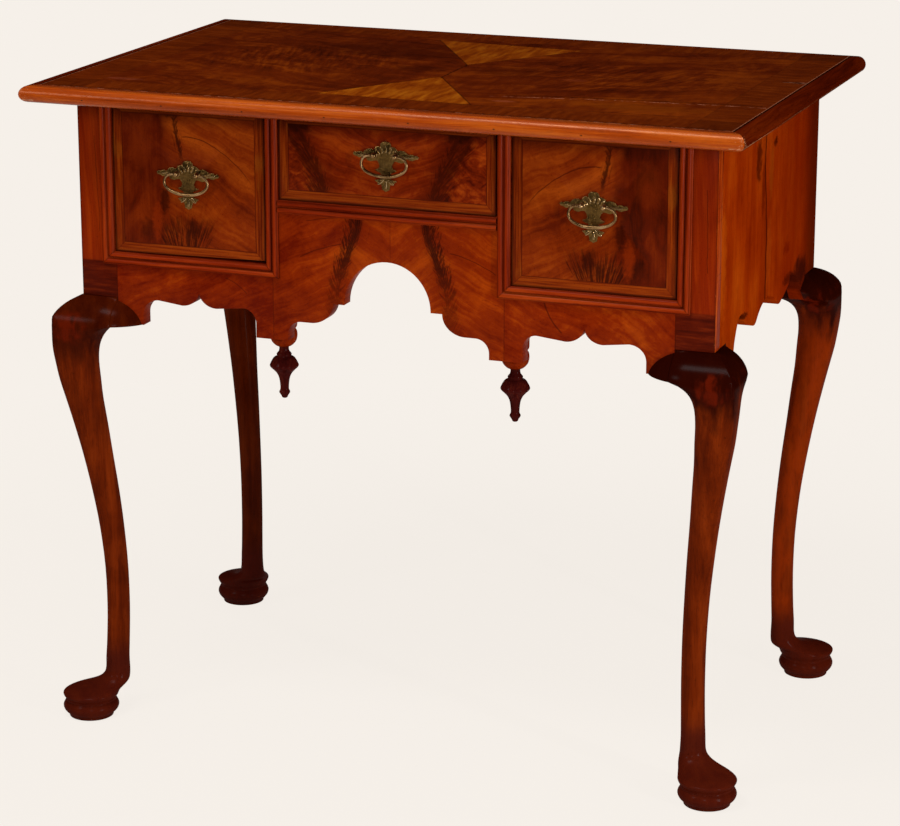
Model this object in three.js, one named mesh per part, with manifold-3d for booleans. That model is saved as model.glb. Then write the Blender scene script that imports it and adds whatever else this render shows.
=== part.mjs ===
// Lowboy: a small dressing table on cabriole legs, with one shallow drawer between two deep ones.
// Millimetres, +Z up, front towards -Y. The origin is on the floor, under the middle of the top.
import * as THREE from 'three';
import { mergeVertices } from 'three/addons/utils/BufferGeometryUtils.js';
import Module from 'manifold-3d';

const wasm = await Module();
wasm.setup();

// Overall size
const top_width = 838;
const top_depth = 533;
const overall_height = 762;

// Fits
const joint_gap = 0.3; // between pieces that are glued, nailed or rest on each other
const running_gap = 1; // beside a drawer
const drawer_head_gap = 1.5; // over a drawer
const cut_overrun = 5; // how far a cutting shape runs past the piece that it cuts

// Top and its edge moulding
const top_thickness = 19;
const edge_moulding_width = 18;
const front_overhang = 58.5;
const back_overhang = 46.5;
const side_overhang = 43;

// Case boards
const board_thickness = 18;
const back_thickness = 14;
const corner_drop = 248; // from the top's surface to the underside of the case at its corners

// Drawer openings in the front
const stile_width = 42.5;
const strip_width = 15; // double-arch strips, and the dividers that carry them
const strip_relief = 4.5;
const centre_opening_width = 259;
const centre_opening_drop = 119; // from the top's surface to the shallow drawer's opening floor
const side_opening_drop = 194;

// Lower edge of the front, from the middle outwards. Its rises are over the foot of the blocks
// that carry the turned drops, unless a note says otherwise.
const apron_drop = 280; // from the top's surface to the foot of the blocks
const arch_half_width = 51.5;
const arch_rise = 100;
const arch_step_rise = 47;
const arch_step_width = 13.5;
const inner_lobe_rise = 23;
const inner_lobe_flat = 12;
const hollow_run = 16;
const hollow_rise = 16;
const drop_block_half_width = 19.5;
const outer_wave_rise = 29;
const outer_wave_swell = 3.5; // from the lobes to the shallow crests beside them
const lobe_run = 21.5;
const front_cusp_rise = 18; // from the lobes up to the cusp between them
const bracket_reach = 32; // the brackets beside the legs
const bracket_run = 20;
const bracket_rise = 18;

// Legs
const leg_width = 44; // leg stock where it meets the case
const knee_reach = 30; // how far the knee stands out of the case
const knee_block_drop = 30; // from the case's corner down to the underside of the knee blocks
const knee_fall = 36; // from the case's corner down to where the knee is fullest
const knee_shoulder = 20; // how far a knee runs straight from its corner before it curves in
const post_depth = 40; // the post behind the corner, front to back
const post_lap = 8; // how far the post runs down into the knee
const front_foot_height = 60; // where a foot's cup meets the ankle
const rear_foot_height = 65;
const pad_radius = 33;
const pad_offset = 5; // the pad's middle stands this far outside the case corner
const ankle_inset = 20;
const leg_sides = 16;

const knee_block_reach = 30.4; // how far a knee block runs along the case from its leg

// Turned drops
const drop_bulb_radius = 16.5;
const drop_length = 61;
const drop_boss_fall = 16; // how far a drop's boss hangs under its block
const drop_boss_radius = 15.5;
const drop_boss_height = 48;
const drop_boss_flat = 14; // from the turning's axis to the flat that is glued on
const drop_offset = 139.5; // from the middle of the front
const drop_sides = 16;

// Runners and partitions
const runner_width = 14;
const runner_thickness = 18;
const guide_height = 20;

// Drawers
const drawer_back_room = 7.7; // between a closed drawer and the back board
const drawer_front_thickness = 20;
const drawer_wall = 10;
const drawer_bottom_thickness = 8;
const drawer_bottom_rise = 6;
const groove_depth = 4;
const tail_length = 14;
const tail_margin = 5;
const side_drop = 4; // the sides end this much below the top of the front
const back_drop = 8;
const deep_tails = 3;
const shallow_tails = 2;

// Handles
const centre_handle_drop = 60; // from the top's surface to the line through the posts
const side_handle_drop = 98;
const plate_half_width = 38.8;
const plate_height = 56;
const plate_thickness = 1.6;
const post_spacing = 25;
const shank_radius = 1.7;
const collar_radius = 3.2;
const collar_thickness = 1.2;
const eye_ball_radius = 3;
const eye_reach = 7.5; // from the drawer's face to the bail's hinge line
const clinch_radius = 3.4;
const clinch_thickness = 2;
const bail_end_radius = 1.2;
const bail_middle_radius = 1.75;
const bail_half_width = 26.7;
const bail_drop = 22.4; // from the hinge line to the bail's lowest point
const bail_end_inset = 1.5; // how far a bail end runs past its post's middle
const post_sides = 10;
const bail_sides = 8;

// Numbers of steps in curves
const curve_steps = 6;
const bead_steps = 5;
const bail_steps = 20;

// Places that follow from the sizes above
const front_y = front_overhang - top_depth / 2;
const back_y = top_depth / 2 - back_overhang;
const case_half = top_width / 2 - side_overhang;
const side_mid_y = (front_y + back_y) / 2;
const side_half = (back_y - front_y) / 2;
const case_top = overall_height - top_thickness - joint_gap;
const inner_front_y = front_y + board_thickness + joint_gap;
const inner_back_y = back_y - back_thickness - joint_gap;
const corner_height = overall_height - corner_drop;
const centre_opening_floor = overall_height - centre_opening_drop;
const side_opening_floor = overall_height - side_opening_drop;
const drop_block_floor = overall_height - apron_drop;
const outer_wave_floor = drop_block_floor + outer_wave_rise;
const outer_wave_height = outer_wave_floor + outer_wave_swell;
const drawer_length = inner_back_y - front_y - drawer_back_room;
const centre_half = centre_opening_width / 2;
const divider_outer = centre_half + strip_width;
const opening_outer = case_half - stile_width;
const side_opening_width = opening_outer - divider_outer;
const side_opening_middle = (opening_outer + divider_outer) / 2;
const opening_top = overall_height - top_thickness;
const knee_swell = board_thickness + knee_reach;
const face_share = Math.sqrt(1 - (board_thickness / knee_swell) ** 2);
const knee_height = corner_height - knee_block_drop;
const knee_middle = corner_height - knee_fall;
const knee_rise = knee_fall / face_share;
const knee_run = (leg_width + knee_block_reach - knee_shoulder) / face_share;

// Finishes
const walnut = { color: 0x7d2305, roughness: 0.28 };
const dark_walnut = { color: 0x4a1404, roughness: 0.25 };
const light_walnut = { color: 0x9a3a0c, roughness: 0.3 };
const pine = { color: 0xb98a55, roughness: 0.75 };
const brass = { color: 0x6b5228, roughness: 0.4, metalness: 0.9 };

const lowboy = new THREE.Group();

function add_piece(group, name, geometry, finish) {
  const mesh = new THREE.Mesh(geometry, new THREE.MeshStandardMaterial(finish));
  mesh.name = name;
  group.add(mesh);
  return mesh;
}

// Geometry helpers

function merged(geometry) {
  const bare = geometry.clone();
  bare.deleteAttribute('normal');
  bare.deleteAttribute('uv');
  return mergeVertices(bare);
}

function flipped(geometry) {
  const index = geometry.index.array;
  for (let i = 0; i < index.length; i += 3) {
    [index[i], index[i + 1]] = [index[i + 1], index[i]];
  }
  return geometry;
}

// Turns the faces of a closed shape outwards if they point in.
function outward(geometry) {
  const shape = merged(geometry);
  const corners = [new THREE.Vector3(), new THREE.Vector3(), new THREE.Vector3()];
  let volume = 0;
  for (let i = 0; i < shape.index.count; i += 3) {
    corners.forEach((corner, k) => {
      corner.fromBufferAttribute(shape.attributes.position, shape.index.getX(i + k));
    });
    volume += corners[0].dot(corners[1].clone().cross(corners[2]));
  }
  return volume < 0 ? flipped(shape) : shape;
}

function to_solid(geometry) {
  const shape = merged(geometry);
  return new wasm.Manifold(new wasm.Mesh({
    numProp: 3,
    vertProperties: new Float32Array(shape.attributes.position.array),
    triVerts: new Uint32Array(shape.index.array),
  }));
}

function to_geometry(solid) {
  const mesh = solid.getMesh();
  const geometry = new THREE.BufferGeometry();
  geometry.setAttribute('position', new THREE.BufferAttribute(mesh.vertProperties, 3));
  geometry.setIndex(new THREE.BufferAttribute(mesh.triVerts, 1));
  return geometry;
}

function cut(geometry, ...cutters) {
  const solid = cutters.reduce((rest, cutter) => rest.subtract(to_solid(cutter)), to_solid(geometry));
  return to_geometry(solid);
}

// The turn that lays a shape's own X, Y and Z along three axes.
function axes_matrix(...axes) {
  return new THREE.Matrix4().makeBasis(...axes.map((axis) => new THREE.Vector3(...axis)));
}

function box(x_range, y_range, z_range) {
  const size = [x_range, y_range, z_range].map(([low, high]) => high - low);
  const middle = [x_range, y_range, z_range].map(([low, high]) => (low + high) / 2);
  return new THREE.BoxGeometry(...size).translate(...middle);
}

// An outline in X and Z, given a thickness along Y.
function upright_across(points, y_low, y_high) {
  const shape = new THREE.Shape(points.map(([x, z]) => new THREE.Vector2(x, z)));
  const geometry = new THREE.ExtrudeGeometry(shape, { depth: y_high - y_low, bevelEnabled: false });
  geometry.rotateX(Math.PI / 2);
  return outward(geometry.translate(0, y_high, 0));
}

// An outline in Y and Z, given a thickness along X.
function upright_along(points, x_low, x_high) {
  const shape = new THREE.Shape(points.map(([y, z]) => new THREE.Vector2(y, z)));
  const geometry = new THREE.ExtrudeGeometry(shape, { depth: x_high - x_low, bevelEnabled: false });
  geometry.applyMatrix4(axes_matrix([0, 1, 0], [0, 0, 1], [1, 0, 0]));
  return outward(geometry.translate(x_low, 0, 0));
}

function mirrored(geometry, x_sign, y_sign) {
  return outward(geometry.clone().scale(x_sign, y_sign, 1));
}

// Adds a quarter of an ellipse from the last point of an outline to a new one.
// It leaves upright and arrives level, or the other way round.
function quarter(points, x, z, leaves_upright) {
  const [from_x, from_z] = points.at(-1);
  for (let i = 1; i <= curve_steps; i += 1) {
    const turn = (i / curve_steps) * Math.PI / 2;
    const [near, far] = [Math.cos(turn), Math.sin(turn)];
    if (leaves_upright) {
      points.push([x + (from_x - x) * near, from_z + (z - from_z) * far]);
    } else {
      points.push([from_x + (x - from_x) * far, z + (from_z - z) * near]);
    }
  }
}

// A skin stretched over rings. Each station has a middle, two half-size vectors, the roundness
// of its first corner and of its other corners (1 is an ellipse, near 0 is a square), and it may
// have a rule that keeps its places inside some limit.
function swept(stations, sides) {
  const geometry = new THREE.CylinderGeometry(1, 1, 1, sides, stations.length - 1);
  const position = geometry.attributes.position;
  const level = (value) => (Math.abs(value) < 1e-6 ? 0 : Math.sign(value) * Math.abs(value));
  const rounded = (value, roundness) => Math.sign(value) * Math.abs(value) ** roundness;
  for (let i = 0; i < position.count; i += 1) {
    const station = stations[Math.round((position.getY(i) + 1 / 2) * (stations.length - 1))];
    const u = level(position.getX(i));
    const v = level(-position.getZ(i));
    const roundness = u > 0 && v > 0 ? station.first_corner : station.other_corners;
    const place = station.middle.clone();
    place.addScaledVector(station.u_half, rounded(u, roundness));
    place.addScaledVector(station.v_half, rounded(v, roundness));
    station.keep?.(place);
    position.setXYZ(i, place.x, place.y, place.z);
  }
  return outward(geometry);
}

// A turned piece on the Z axis, from radius and height pairs that start and end on the axis.
function turned(profile, sides) {
  const points = profile.map(([radius, height]) => new THREE.Vector2(radius, height));
  const lathe = new THREE.LatheGeometry(points, sides);
  return outward(lathe.rotateX(Math.PI / 2));
}

// A straight moulding with a profile of across and out, along its own Z axis from 0.
// A mitred end is short at the side where across is 0 (mitre -1) or at the far side (mitre 1).
function moulding(profile, width, length, start_mitre, end_mitre) {
  const shape = new THREE.Shape(profile.map(([across, out]) => new THREE.Vector2(across, out)));
  const geometry = new THREE.ExtrudeGeometry(shape, { depth: length, bevelEnabled: false });
  const position = geometry.attributes.position;
  const shortening = (mitre, across) => {
    if (mitre === 0) {
      return 0;
    }
    return joint_gap + (mitre > 0 ? across : width - across);
  };
  for (let i = 0; i < position.count; i += 1) {
    const across = position.getX(i);
    const at_end = position.getZ(i) > length / 2;
    const z = at_end ? length - shortening(end_mitre, across) : shortening(start_mitre, across);
    position.setZ(i, z);
  }
  return outward(geometry);
}

// Lays a moulding with its across, out and length directions along three axes.
function lay(mesh, across, out, along, place) {
  mesh.quaternion.setFromRotationMatrix(axes_matrix(across, out, along));
  mesh.position.set(...place);
}

// Top board and its bullnose edge moulding, mitred at the front corners

const bullnose_radius = top_thickness / 2;
const bullnose_profile = [[0, 0]];
for (let i = 0; i <= 2 * curve_steps; i += 1) {
  const turn = (i / (2 * curve_steps)) * Math.PI;
  bullnose_profile.push([
    edge_moulding_width - bullnose_radius + bullnose_radius * Math.sin(turn),
    bullnose_radius - bullnose_radius * Math.cos(turn),
  ]);
}
bullnose_profile.push([0, top_thickness]);

const top_group = new THREE.Group();
top_group.position.set(0, 0, overall_height - top_thickness);
lowboy.add(top_group);

const top_board_half = top_width / 2 - edge_moulding_width - joint_gap;
const top_board_front = edge_moulding_width + joint_gap - top_depth / 2;
add_piece(
  top_group,
  'top_board',
  box([-top_board_half, top_board_half], [top_board_front, top_depth / 2], [0, top_thickness]),
  walnut,
);
const front_moulding = add_piece(
  top_group,
  'top_moulding_front',
  moulding(bullnose_profile, edge_moulding_width, top_width, -1, -1),
  light_walnut,
);
lay(
  front_moulding,
  [0, -1, 0],
  [0, 0, 1],
  [-1, 0, 0],
  [top_width / 2, edge_moulding_width - top_depth / 2, 0],
);
const right_moulding = add_piece(
  top_group,
  'top_moulding_right',
  moulding(bullnose_profile, edge_moulding_width, top_depth, 0, -1),
  dark_walnut,
);
lay(
  right_moulding,
  [1, 0, 0],
  [0, 0, 1],
  [0, -1, 0],
  [top_width / 2 - edge_moulding_width, top_depth / 2, 0],
);
const left_moulding = add_piece(
  top_group,
  'top_moulding_left',
  moulding(bullnose_profile, edge_moulding_width, top_depth, -1, 0),
  dark_walnut,
);
lay(
  left_moulding,
  [-1, 0, 0],
  [0, 0, 1],
  [0, 1, 0],
  [edge_moulding_width - top_width / 2, -top_depth / 2, 0],
);

// Front board: one sawn frame with three drawer openings, open at the top, and the shaped apron.

// From a bracket's tip to the corner, over the leg.
function over_leg(points, half) {
  const leg_side = half - leg_width - joint_gap;
  points.push([half - leg_width - bracket_reach, knee_height]);
  points.push([leg_side, knee_height]);
  points.push([leg_side, corner_height]);
  points.push([half, corner_height]);
}

function front_outline() {
  const block_left = drop_offset - drop_block_half_width;
  const block_right = drop_offset + drop_block_half_width;
  const bracket = case_half - leg_width - bracket_reach;
  const cusp = (block_right + bracket) / 2;
  const arch_step_height = drop_block_floor + arch_step_rise;
  const inner_lobe_floor = drop_block_floor + inner_lobe_rise;
  const half = [[0, drop_block_floor + arch_rise]];
  quarter(half, arch_half_width, arch_step_height, false);
  half.push([arch_half_width + arch_step_width, arch_step_height]);
  quarter(half, block_left - hollow_run - inner_lobe_flat, inner_lobe_floor, true);
  half.push([block_left - hollow_run, inner_lobe_floor]);
  quarter(half, block_left, inner_lobe_floor - hollow_rise, false);
  half.push([block_left, drop_block_floor]);
  half.push([block_right, drop_block_floor]);
  half.push([block_right, outer_wave_height - hollow_rise]);
  quarter(half, block_right + hollow_run, outer_wave_height, true);
  half.push([cusp - lobe_run, outer_wave_floor]);
  quarter(half, cusp, outer_wave_floor + front_cusp_rise, false);
  quarter(half, cusp + lobe_run, outer_wave_floor, true);
  half.push([bracket - bracket_run, outer_wave_height]);
  quarter(half, bracket, outer_wave_height - bracket_rise, false);
  over_leg(half, case_half);
  half.push([case_half, case_top]);
  half.push([opening_outer, case_top]);
  half.push([opening_outer, side_opening_floor]);
  half.push([divider_outer, side_opening_floor]);
  half.push([divider_outer, case_top]);
  half.push([centre_half, case_top]);
  half.push([centre_half, centre_opening_floor]);
  const other_half = half.slice(1).reverse().map(([x, z]) => [-x, z]);
  return [...half, ...other_half];
}

add_piece(
  lowboy,
  'front_board',
  upright_across(front_outline(), front_y, front_y + board_thickness),
  walnut,
);

// Side boards. Points of the lower edge from the middle to the bracket: distance as a share of the
// bracket's distance, height as a share of the corner's height.
const side_edge_shares = [
  [0, 1.028],
  [0.087, 1.021],
  [0.16, 1.016],
  [0.215, 1.01],
  [0.268, 1.002],
  [0.308, 0.994],
  [0.348, 0.987],
  [0.391, 0.985],
  [0.435, 0.987],
  [0.507, 0.993],
  [0.58, 0.999],
  [0.652, 1.007],
  [0.703, 1.014],
  [0.717, 1.024],
  [0.746, 1.031],
  [0.79, 1.034],
  [0.848, 1.031],
  [0.906, 1.018],
  [0.957, 0.996],
  [0.986, 0.979],
  [1, 0.961],
];

function side_outline() {
  const bracket = side_half - leg_width - bracket_reach;
  const half = side_edge_shares.map(([share, height_share]) => [
    share * bracket,
    height_share * corner_height,
  ]);
  over_leg(half, side_half);
  const front_end = [side_half - board_thickness - joint_gap, corner_height];
  const front_half = [...half.slice(1, -1), front_end].map(([y, z]) => [-y, z]).reverse();
  const top = [[side_half, case_top], [-front_end[0], case_top]];
  return [...front_half, ...half, ...top].map(([y, z]) => [y + side_mid_y, z]);
}

for (const [side, sign] of [['left', -1], ['right', 1]]) {
  const inner_face = case_half - board_thickness;
  const board = upright_along(side_outline(), inner_face, case_half);
  add_piece(lowboy, `side_board_${side}`, mirrored(board, sign, 1), walnut);
}

// Back board, between the sides and on the rear legs

const back_half = case_half - board_thickness - joint_gap;
add_piece(
  lowboy,
  'back_board',
  box([-back_half, back_half], [back_y - back_thickness, back_y], [corner_height, case_top]),
  pine,
);

// Partitions behind the dividers, each with a ledge for the shallow drawer, and the runners

function partition_outline() {
  const ledge_edge = centre_half - runner_width;
  const foot = side_opening_floor - runner_thickness;
  return [
    [centre_half, foot],
    [divider_outer, foot],
    [divider_outer, case_top],
    [centre_half, case_top],
    [centre_half, centre_opening_floor],
    [ledge_edge, centre_opening_floor],
    [ledge_edge, centre_opening_floor - runner_thickness],
    [centre_half, centre_opening_floor - runner_thickness],
  ];
}

function outer_runner_outline() {
  const wall = case_half - board_thickness - joint_gap;
  const guide = opening_outer + joint_gap;
  return [
    [opening_outer - runner_width, side_opening_floor - runner_thickness],
    [wall, side_opening_floor - runner_thickness],
    [wall, side_opening_floor + guide_height],
    [guide, side_opening_floor + guide_height],
    [guide, side_opening_floor],
    [opening_outer - runner_width, side_opening_floor],
  ];
}

const runner_heights = [side_opening_floor - runner_thickness, side_opening_floor];
const post_width_range = [opening_outer - joint_gap, case_half];
const post_height_range = [corner_height, overall_height];
const front_post_notch = [inner_front_y - cut_overrun, inner_front_y + post_depth + joint_gap];
const rear_post_notch = [inner_back_y - post_depth - joint_gap, inner_back_y + cut_overrun];
for (const [side, sign] of [['left', -1], ['right', 1]]) {
  const partition = upright_across(partition_outline(), inner_front_y, inner_back_y);
  add_piece(lowboy, `partition_${side}`, mirrored(partition, sign, 1), pine);
  const inner_runner = box(
    [divider_outer + joint_gap, divider_outer + joint_gap + runner_width],
    [inner_front_y, inner_back_y],
    runner_heights,
  );
  add_piece(lowboy, `inner_runner_${side}`, mirrored(inner_runner, sign, 1), pine);
  const outer_runner = cut(
    upright_across(outer_runner_outline(), inner_front_y, inner_back_y),
    box(post_width_range, front_post_notch, post_height_range),
    box(post_width_range, rear_post_notch, post_height_range),
  );
  add_piece(lowboy, `outer_runner_${side}`, mirrored(outer_runner, sign, 1), pine);
}

// Legs. A leg is shaped about its case corner: X and Y point out of the case.
// Each row: height as a share of the way from the foot to the knee blocks, the outer face as a share
// of the knee's reach, the inner face as a share of the leg's width, roundness of the outer corner,
// and of the others.
const leg_row_shares = [
  [0.0189, -0.193, 0.759, 1, 1],
  [0.0706, -0.237, 0.773, 1, 1],
  [0.1652, -0.277, 0.795, 1, 1],
  [0.2828, -0.253, 0.786, 1, 1],
  [0.401, -0.14, 0.734, 0.9, 1],
  [0.5071, 0.033, 0.664, 0.8, 1],
  [0.6132, 0.253, 0.573, 0.7, 1],
  [0.7071, 0.487, 0.5, 0.6, 1],
  [0.7786, 0.687, 0.439, 0.55, 1],
  [0.8368, 0.853, 0.416, 0.5, 1],
  [0.8841, 0.943, 0.391, 0.45, 0.95],
  [0.9198, 0.99, 0.4, 0.36, 0.85],
  [0.9435, 1, 0.443, 0.3, 0.75],
  [0.9623, 1, 0.523, 0.27, 0.65],
  [0.9786, 1, 0.648, 0.25, 0.5],
  [0.9907, 1, 0.818, 0.22, 0.4],
];
// Each row: height as a share of the foot's height, how far the middle has moved from the ankle
// to the pad, and the radius as a share of the pad's radius.
const foot_row_shares = [
  [0, 1, 0.79],
  [0.05, 1, 0.812],
  [0.083, 1, 0.873],
  [0.142, 1, 0.964],
  [0.217, 1, 1],
  [0.292, 1, 0.94],
  [0.333, 1, 0.888],
  [0.375, 1, 0.91],
  [0.425, 1, 0.97],
  [0.475, 0.99, 1],
  [0.51, 0.92, 0.96],
  [0.545, 0.78, 0.885],
  [0.585, 0.56, 0.765],
  [0.63, 0.34, 0.655],
  [0.69, 0.17, 0.555],
  [0.78, 0.06, 0.47],
  [0.9, 0.02, 0.433],
];
// Heights of the knee's top, as shares of its rise from the knee blocks' underside to the case.
const knee_top_shares = [0, 0.35, 0.65, 0.88, 1];

// Keeps a place inside the knee's swelling, which dies away upwards and away from the corner.
function inside_knee(place) {
  const rise_share = Math.max(place.z - knee_middle, 0) / knee_rise;
  const reach_beside = (across) => {
    const run_share = Math.max(-across - knee_shoulder, 0) / knee_run;
    const swell_share = Math.sqrt(Math.max(1 - rise_share ** 2 - run_share ** 2, 0));
    return Math.max(knee_swell * swell_share - board_thickness, 0);
  };
  const [x, y] = [place.x, place.y];
  place.x = Math.min(x, reach_beside(y));
  place.y = Math.min(y, reach_beside(x));
}

function leg_station(height, outer, inner, first_corner, other_corners) {
  const middle = (outer - inner) / 2;
  const half = (outer + inner) / 2;
  return {
    middle: new THREE.Vector3(middle, middle, height),
    u_half: new THREE.Vector3(half, 0, 0),
    v_half: new THREE.Vector3(0, half, 0),
    first_corner,
    other_corners,
  };
}

function leg_geometry(wall, foot_height) {
  const stations = [];
  for (const [height_share, shift_share, radius_share] of foot_row_shares) {
    const middle = shift_share * (pad_offset + ankle_inset) - ankle_inset;
    const radius = radius_share * pad_radius;
    stations.push(leg_station(height_share * foot_height, middle + radius, radius - middle, 1, 1));
  }
  for (const [height_share, outer_share, inner_share, first_corner, other_corners] of leg_row_shares) {
    const [outer, inner] = [outer_share * knee_reach, inner_share * leg_width];
    const height = foot_height + height_share * (knee_height - foot_height);
    const station = leg_station(height, outer, inner, first_corner, other_corners);
    stations.push({ ...station, keep: inside_knee });
  }
  const [outer_corner, inner_corner] = [0.2, 0.35];
  for (const share of knee_top_shares) {
    const height = knee_height + share * (corner_height - joint_gap - knee_height);
    const inner = leg_width + cut_overrun;
    const station = leg_station(height, knee_reach, inner, outer_corner, inner_corner);
    stations.push({ ...station, keep: inside_knee });
  }
  const beyond = [-leg_width - 2 * cut_overrun, -leg_width];
  const all = [-leg_width - 2 * cut_overrun, knee_reach + cut_overrun];
  const knee_heights = [knee_height - knee_reach, corner_height];
  const stock_faces = [box(beyond, all, knee_heights), box(all, beyond, knee_heights)];
  const trimmed = cut(swept(stations, leg_sides), ...stock_faces);
  const post = box(
    [-stile_width, -board_thickness - joint_gap],
    [-wall - joint_gap - post_depth, -wall - joint_gap],
    [corner_height - joint_gap - post_lap, case_top],
  );
  return to_geometry(to_solid(trimmed).add(to_solid(post)));
}

for (const [end, y_sign, y, wall, foot_height] of [
  ['front', -1, front_y, board_thickness, front_foot_height],
  ['rear', 1, back_y, back_thickness, rear_foot_height],
]) {
  const leg = leg_geometry(wall, foot_height);
  for (const [side, x_sign] of [['left', -1], ['right', 1]]) {
    const mesh = add_piece(lowboy, `leg_${end}_${side}`, mirrored(leg, x_sign, y_sign), dark_walnut);
    mesh.position.set(x_sign * case_half, y, 0);
  }
}

// Knee blocks, glued to the face of the bracket and to the side of the leg. A block is shaped about
// its case corner too: X runs out past the corner along the board, Y out of the case. It carries
// on the knee's swelling and dies away at the end of the bracket.

function knee_block_geometry() {
  const ball = new THREE.SphereGeometry(1, 2 * leg_sides, leg_sides);
  ball.rotateX(Math.PI / 2);
  ball.scale(knee_run, knee_swell, knee_rise);
  ball.translate(-knee_shoulder, -board_thickness, knee_middle);
  const limits = box(
    [-leg_width - knee_block_reach - cut_overrun, -leg_width - joint_gap],
    [joint_gap, knee_reach + cut_overrun],
    [knee_height, corner_height],
  );
  return to_geometry(to_solid(ball).intersect(to_solid(limits)));
}

const knee_block = knee_block_geometry();
const across_to_along = axes_matrix([0, 1, 0], [1, 0, 0], [0, 0, 1]);
const side_knee_block = outward(knee_block.clone().applyMatrix4(across_to_along));
for (const [side, sign] of [['left', -1], ['right', 1]]) {
  for (const [name, block, y_sign, y] of [
    ['knee_block_front', knee_block, -1, front_y],
    ['knee_block_front_side', side_knee_block, -1, front_y],
    ['knee_block_rear_side', side_knee_block, 1, back_y],
  ]) {
    const mesh = add_piece(lowboy, `${name}_${side}`, mirrored(block, sign, y_sign), dark_walnut);
    mesh.position.set(sign * case_half, y, 0);
  }
}

// Turned drops, each with a boss that is flattened and glued behind the apron.
// Each row: radius as a share of the bulb's, height above the tip as a share of the drop's length.
const drop_row_shares = [
  [0, 0],
  [0.17, 0.015],
  [0.25, 0.06],
  [0.38, 0.12],
  [0.3, 0.18],
  [0.31, 0.28],
  [0.38, 0.4],
  [0.53, 0.49],
  [0.76, 0.56],
  [0.98, 0.62],
  [0.97, 0.67],
  [0.74, 0.78],
  [0.5, 0.82],
  [0.52, 0.86],
  [0.36, 0.92],
  [0.35, 1],
];
// Each row: radius as a share of the boss's, height above its foot as a share of its height.
const boss_row_shares = [
  [0.62, 0.04],
  [0.9, 0.14],
  [1, 0.27],
  [0.97, 0.38],
  [0.87, 0.44],
  [0.97, 0.5],
  [1, 0.56],
  [1, 1],
  [0, 1],
];

const drop_profile = drop_row_shares.map(([radius_share, height_share]) => [
  radius_share * drop_bulb_radius,
  (height_share - 1) * drop_length,
]);
for (const [radius_share, height_share] of boss_row_shares) {
  drop_profile.push([radius_share * drop_boss_radius, height_share * drop_boss_height]);
}
const drop_cutter = box(
  [-drop_boss_radius - cut_overrun, drop_boss_radius + cut_overrun],
  [-drop_boss_radius - cut_overrun, -drop_boss_flat],
  [drop_boss_fall - cut_overrun, drop_boss_height + cut_overrun],
);
const drop_geometry = cut(turned(drop_profile, drop_sides), drop_cutter);
for (const [side, sign] of [['left', -1], ['right', 1]]) {
  const mesh = add_piece(lowboy, `drop_${side}`, drop_geometry.clone(), dark_walnut);
  const neck_height = drop_block_floor - drop_boss_fall;
  mesh.position.set(sign * drop_offset, inner_front_y + drop_boss_flat, neck_height);
}

// Double-arch strips round the drawer openings

const bead_radius = (strip_width / 4) * 0.88;
const bead_base = strip_relief - bead_radius;
const strip_profile = [[0, 0], [0, bead_base]];
for (const middle of [strip_width / 4, (3 * strip_width) / 4]) {
  for (let i = 0; i <= bead_steps; i += 1) {
    const turn = (i / bead_steps) * Math.PI;
    strip_profile.push([middle - bead_radius * Math.cos(turn), bead_base + bead_radius * Math.sin(turn)]);
  }
}
strip_profile.push([strip_width, bead_base], [strip_width, 0]);

const strip_y = front_y - joint_gap;
const strip_foot = side_opening_floor - strip_width;

// An upright strip hangs from the case top; its mitre is at its foot.
function upright_strip(name, left_x, mitre) {
  const geometry = moulding(strip_profile, strip_width, case_top - strip_foot, 0, mitre);
  const mesh = add_piece(lowboy, name, geometry, light_walnut);
  lay(mesh, [1, 0, 0], [0, -1, 0], [0, 0, -1], [left_x, strip_y, case_top]);
}

// A level strip lies under an opening.
function level_strip(name, left_x, right_x, low_z, mitre) {
  const geometry = moulding(strip_profile, strip_width, right_x - left_x, mitre, mitre);
  const mesh = add_piece(lowboy, name, geometry, light_walnut);
  lay(mesh, [0, 0, 1], [0, -1, 0], [1, 0, 0], [left_x, strip_y, low_z]);
}

upright_strip('strip_left_outer', -opening_outer - strip_width, 1);
upright_strip('strip_left_divider', -divider_outer, -1);
upright_strip('strip_right_divider', centre_half, 1);
upright_strip('strip_right_outer', opening_outer, -1);
level_strip('strip_left_floor', -opening_outer - strip_width, -centre_half, strip_foot, 1);
level_strip('strip_right_floor', centre_half, opening_outer + strip_width, strip_foot, 1);
level_strip(
  'strip_centre_floor',
  joint_gap - centre_half,
  centre_half - joint_gap,
  centre_opening_floor - strip_width,
  0,
);

// Drawers. A drawer is built about the middle of its opening's floor, on the case's front face:
// X across, Y into the case.

// The dovetails at one end of a drawer side, from the lowest to the highest.
function tails(shoulder_y, tip_y, low_z, high_z, count) {
  const pitch = (high_z - low_z) / count;
  const [neck_share, tip_share] = [0.26, 0.37];
  return Array.from({ length: count }, (_, i) => {
    const middle = low_z + (i + 1 / 2) * pitch;
    return [
      [shoulder_y, middle - neck_share * pitch],
      [tip_y, middle - tip_share * pitch],
      [tip_y, middle + tip_share * pitch],
      [shoulder_y, middle + neck_share * pitch],
    ];
  });
}

// A dovetail's shape with clearance, which cuts the socket that it fits.
function socket(tail, x_low, x_high, mouth) {
  const [[shoulder_y, z_low], [tip_y, tip_low], [, tip_high], [, z_high]] = tail;
  const way = Math.sign(tip_y - shoulder_y);
  const outline = [
    [shoulder_y - way * mouth, z_low - joint_gap],
    [shoulder_y, z_low - joint_gap],
    [tip_y + way * joint_gap, tip_low - joint_gap],
    [tip_y + way * joint_gap, tip_high + joint_gap],
    [shoulder_y, z_high + joint_gap],
    [shoulder_y - way * mouth, z_high + joint_gap],
  ];
  return upright_along(outline, x_low, x_high);
}

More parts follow.
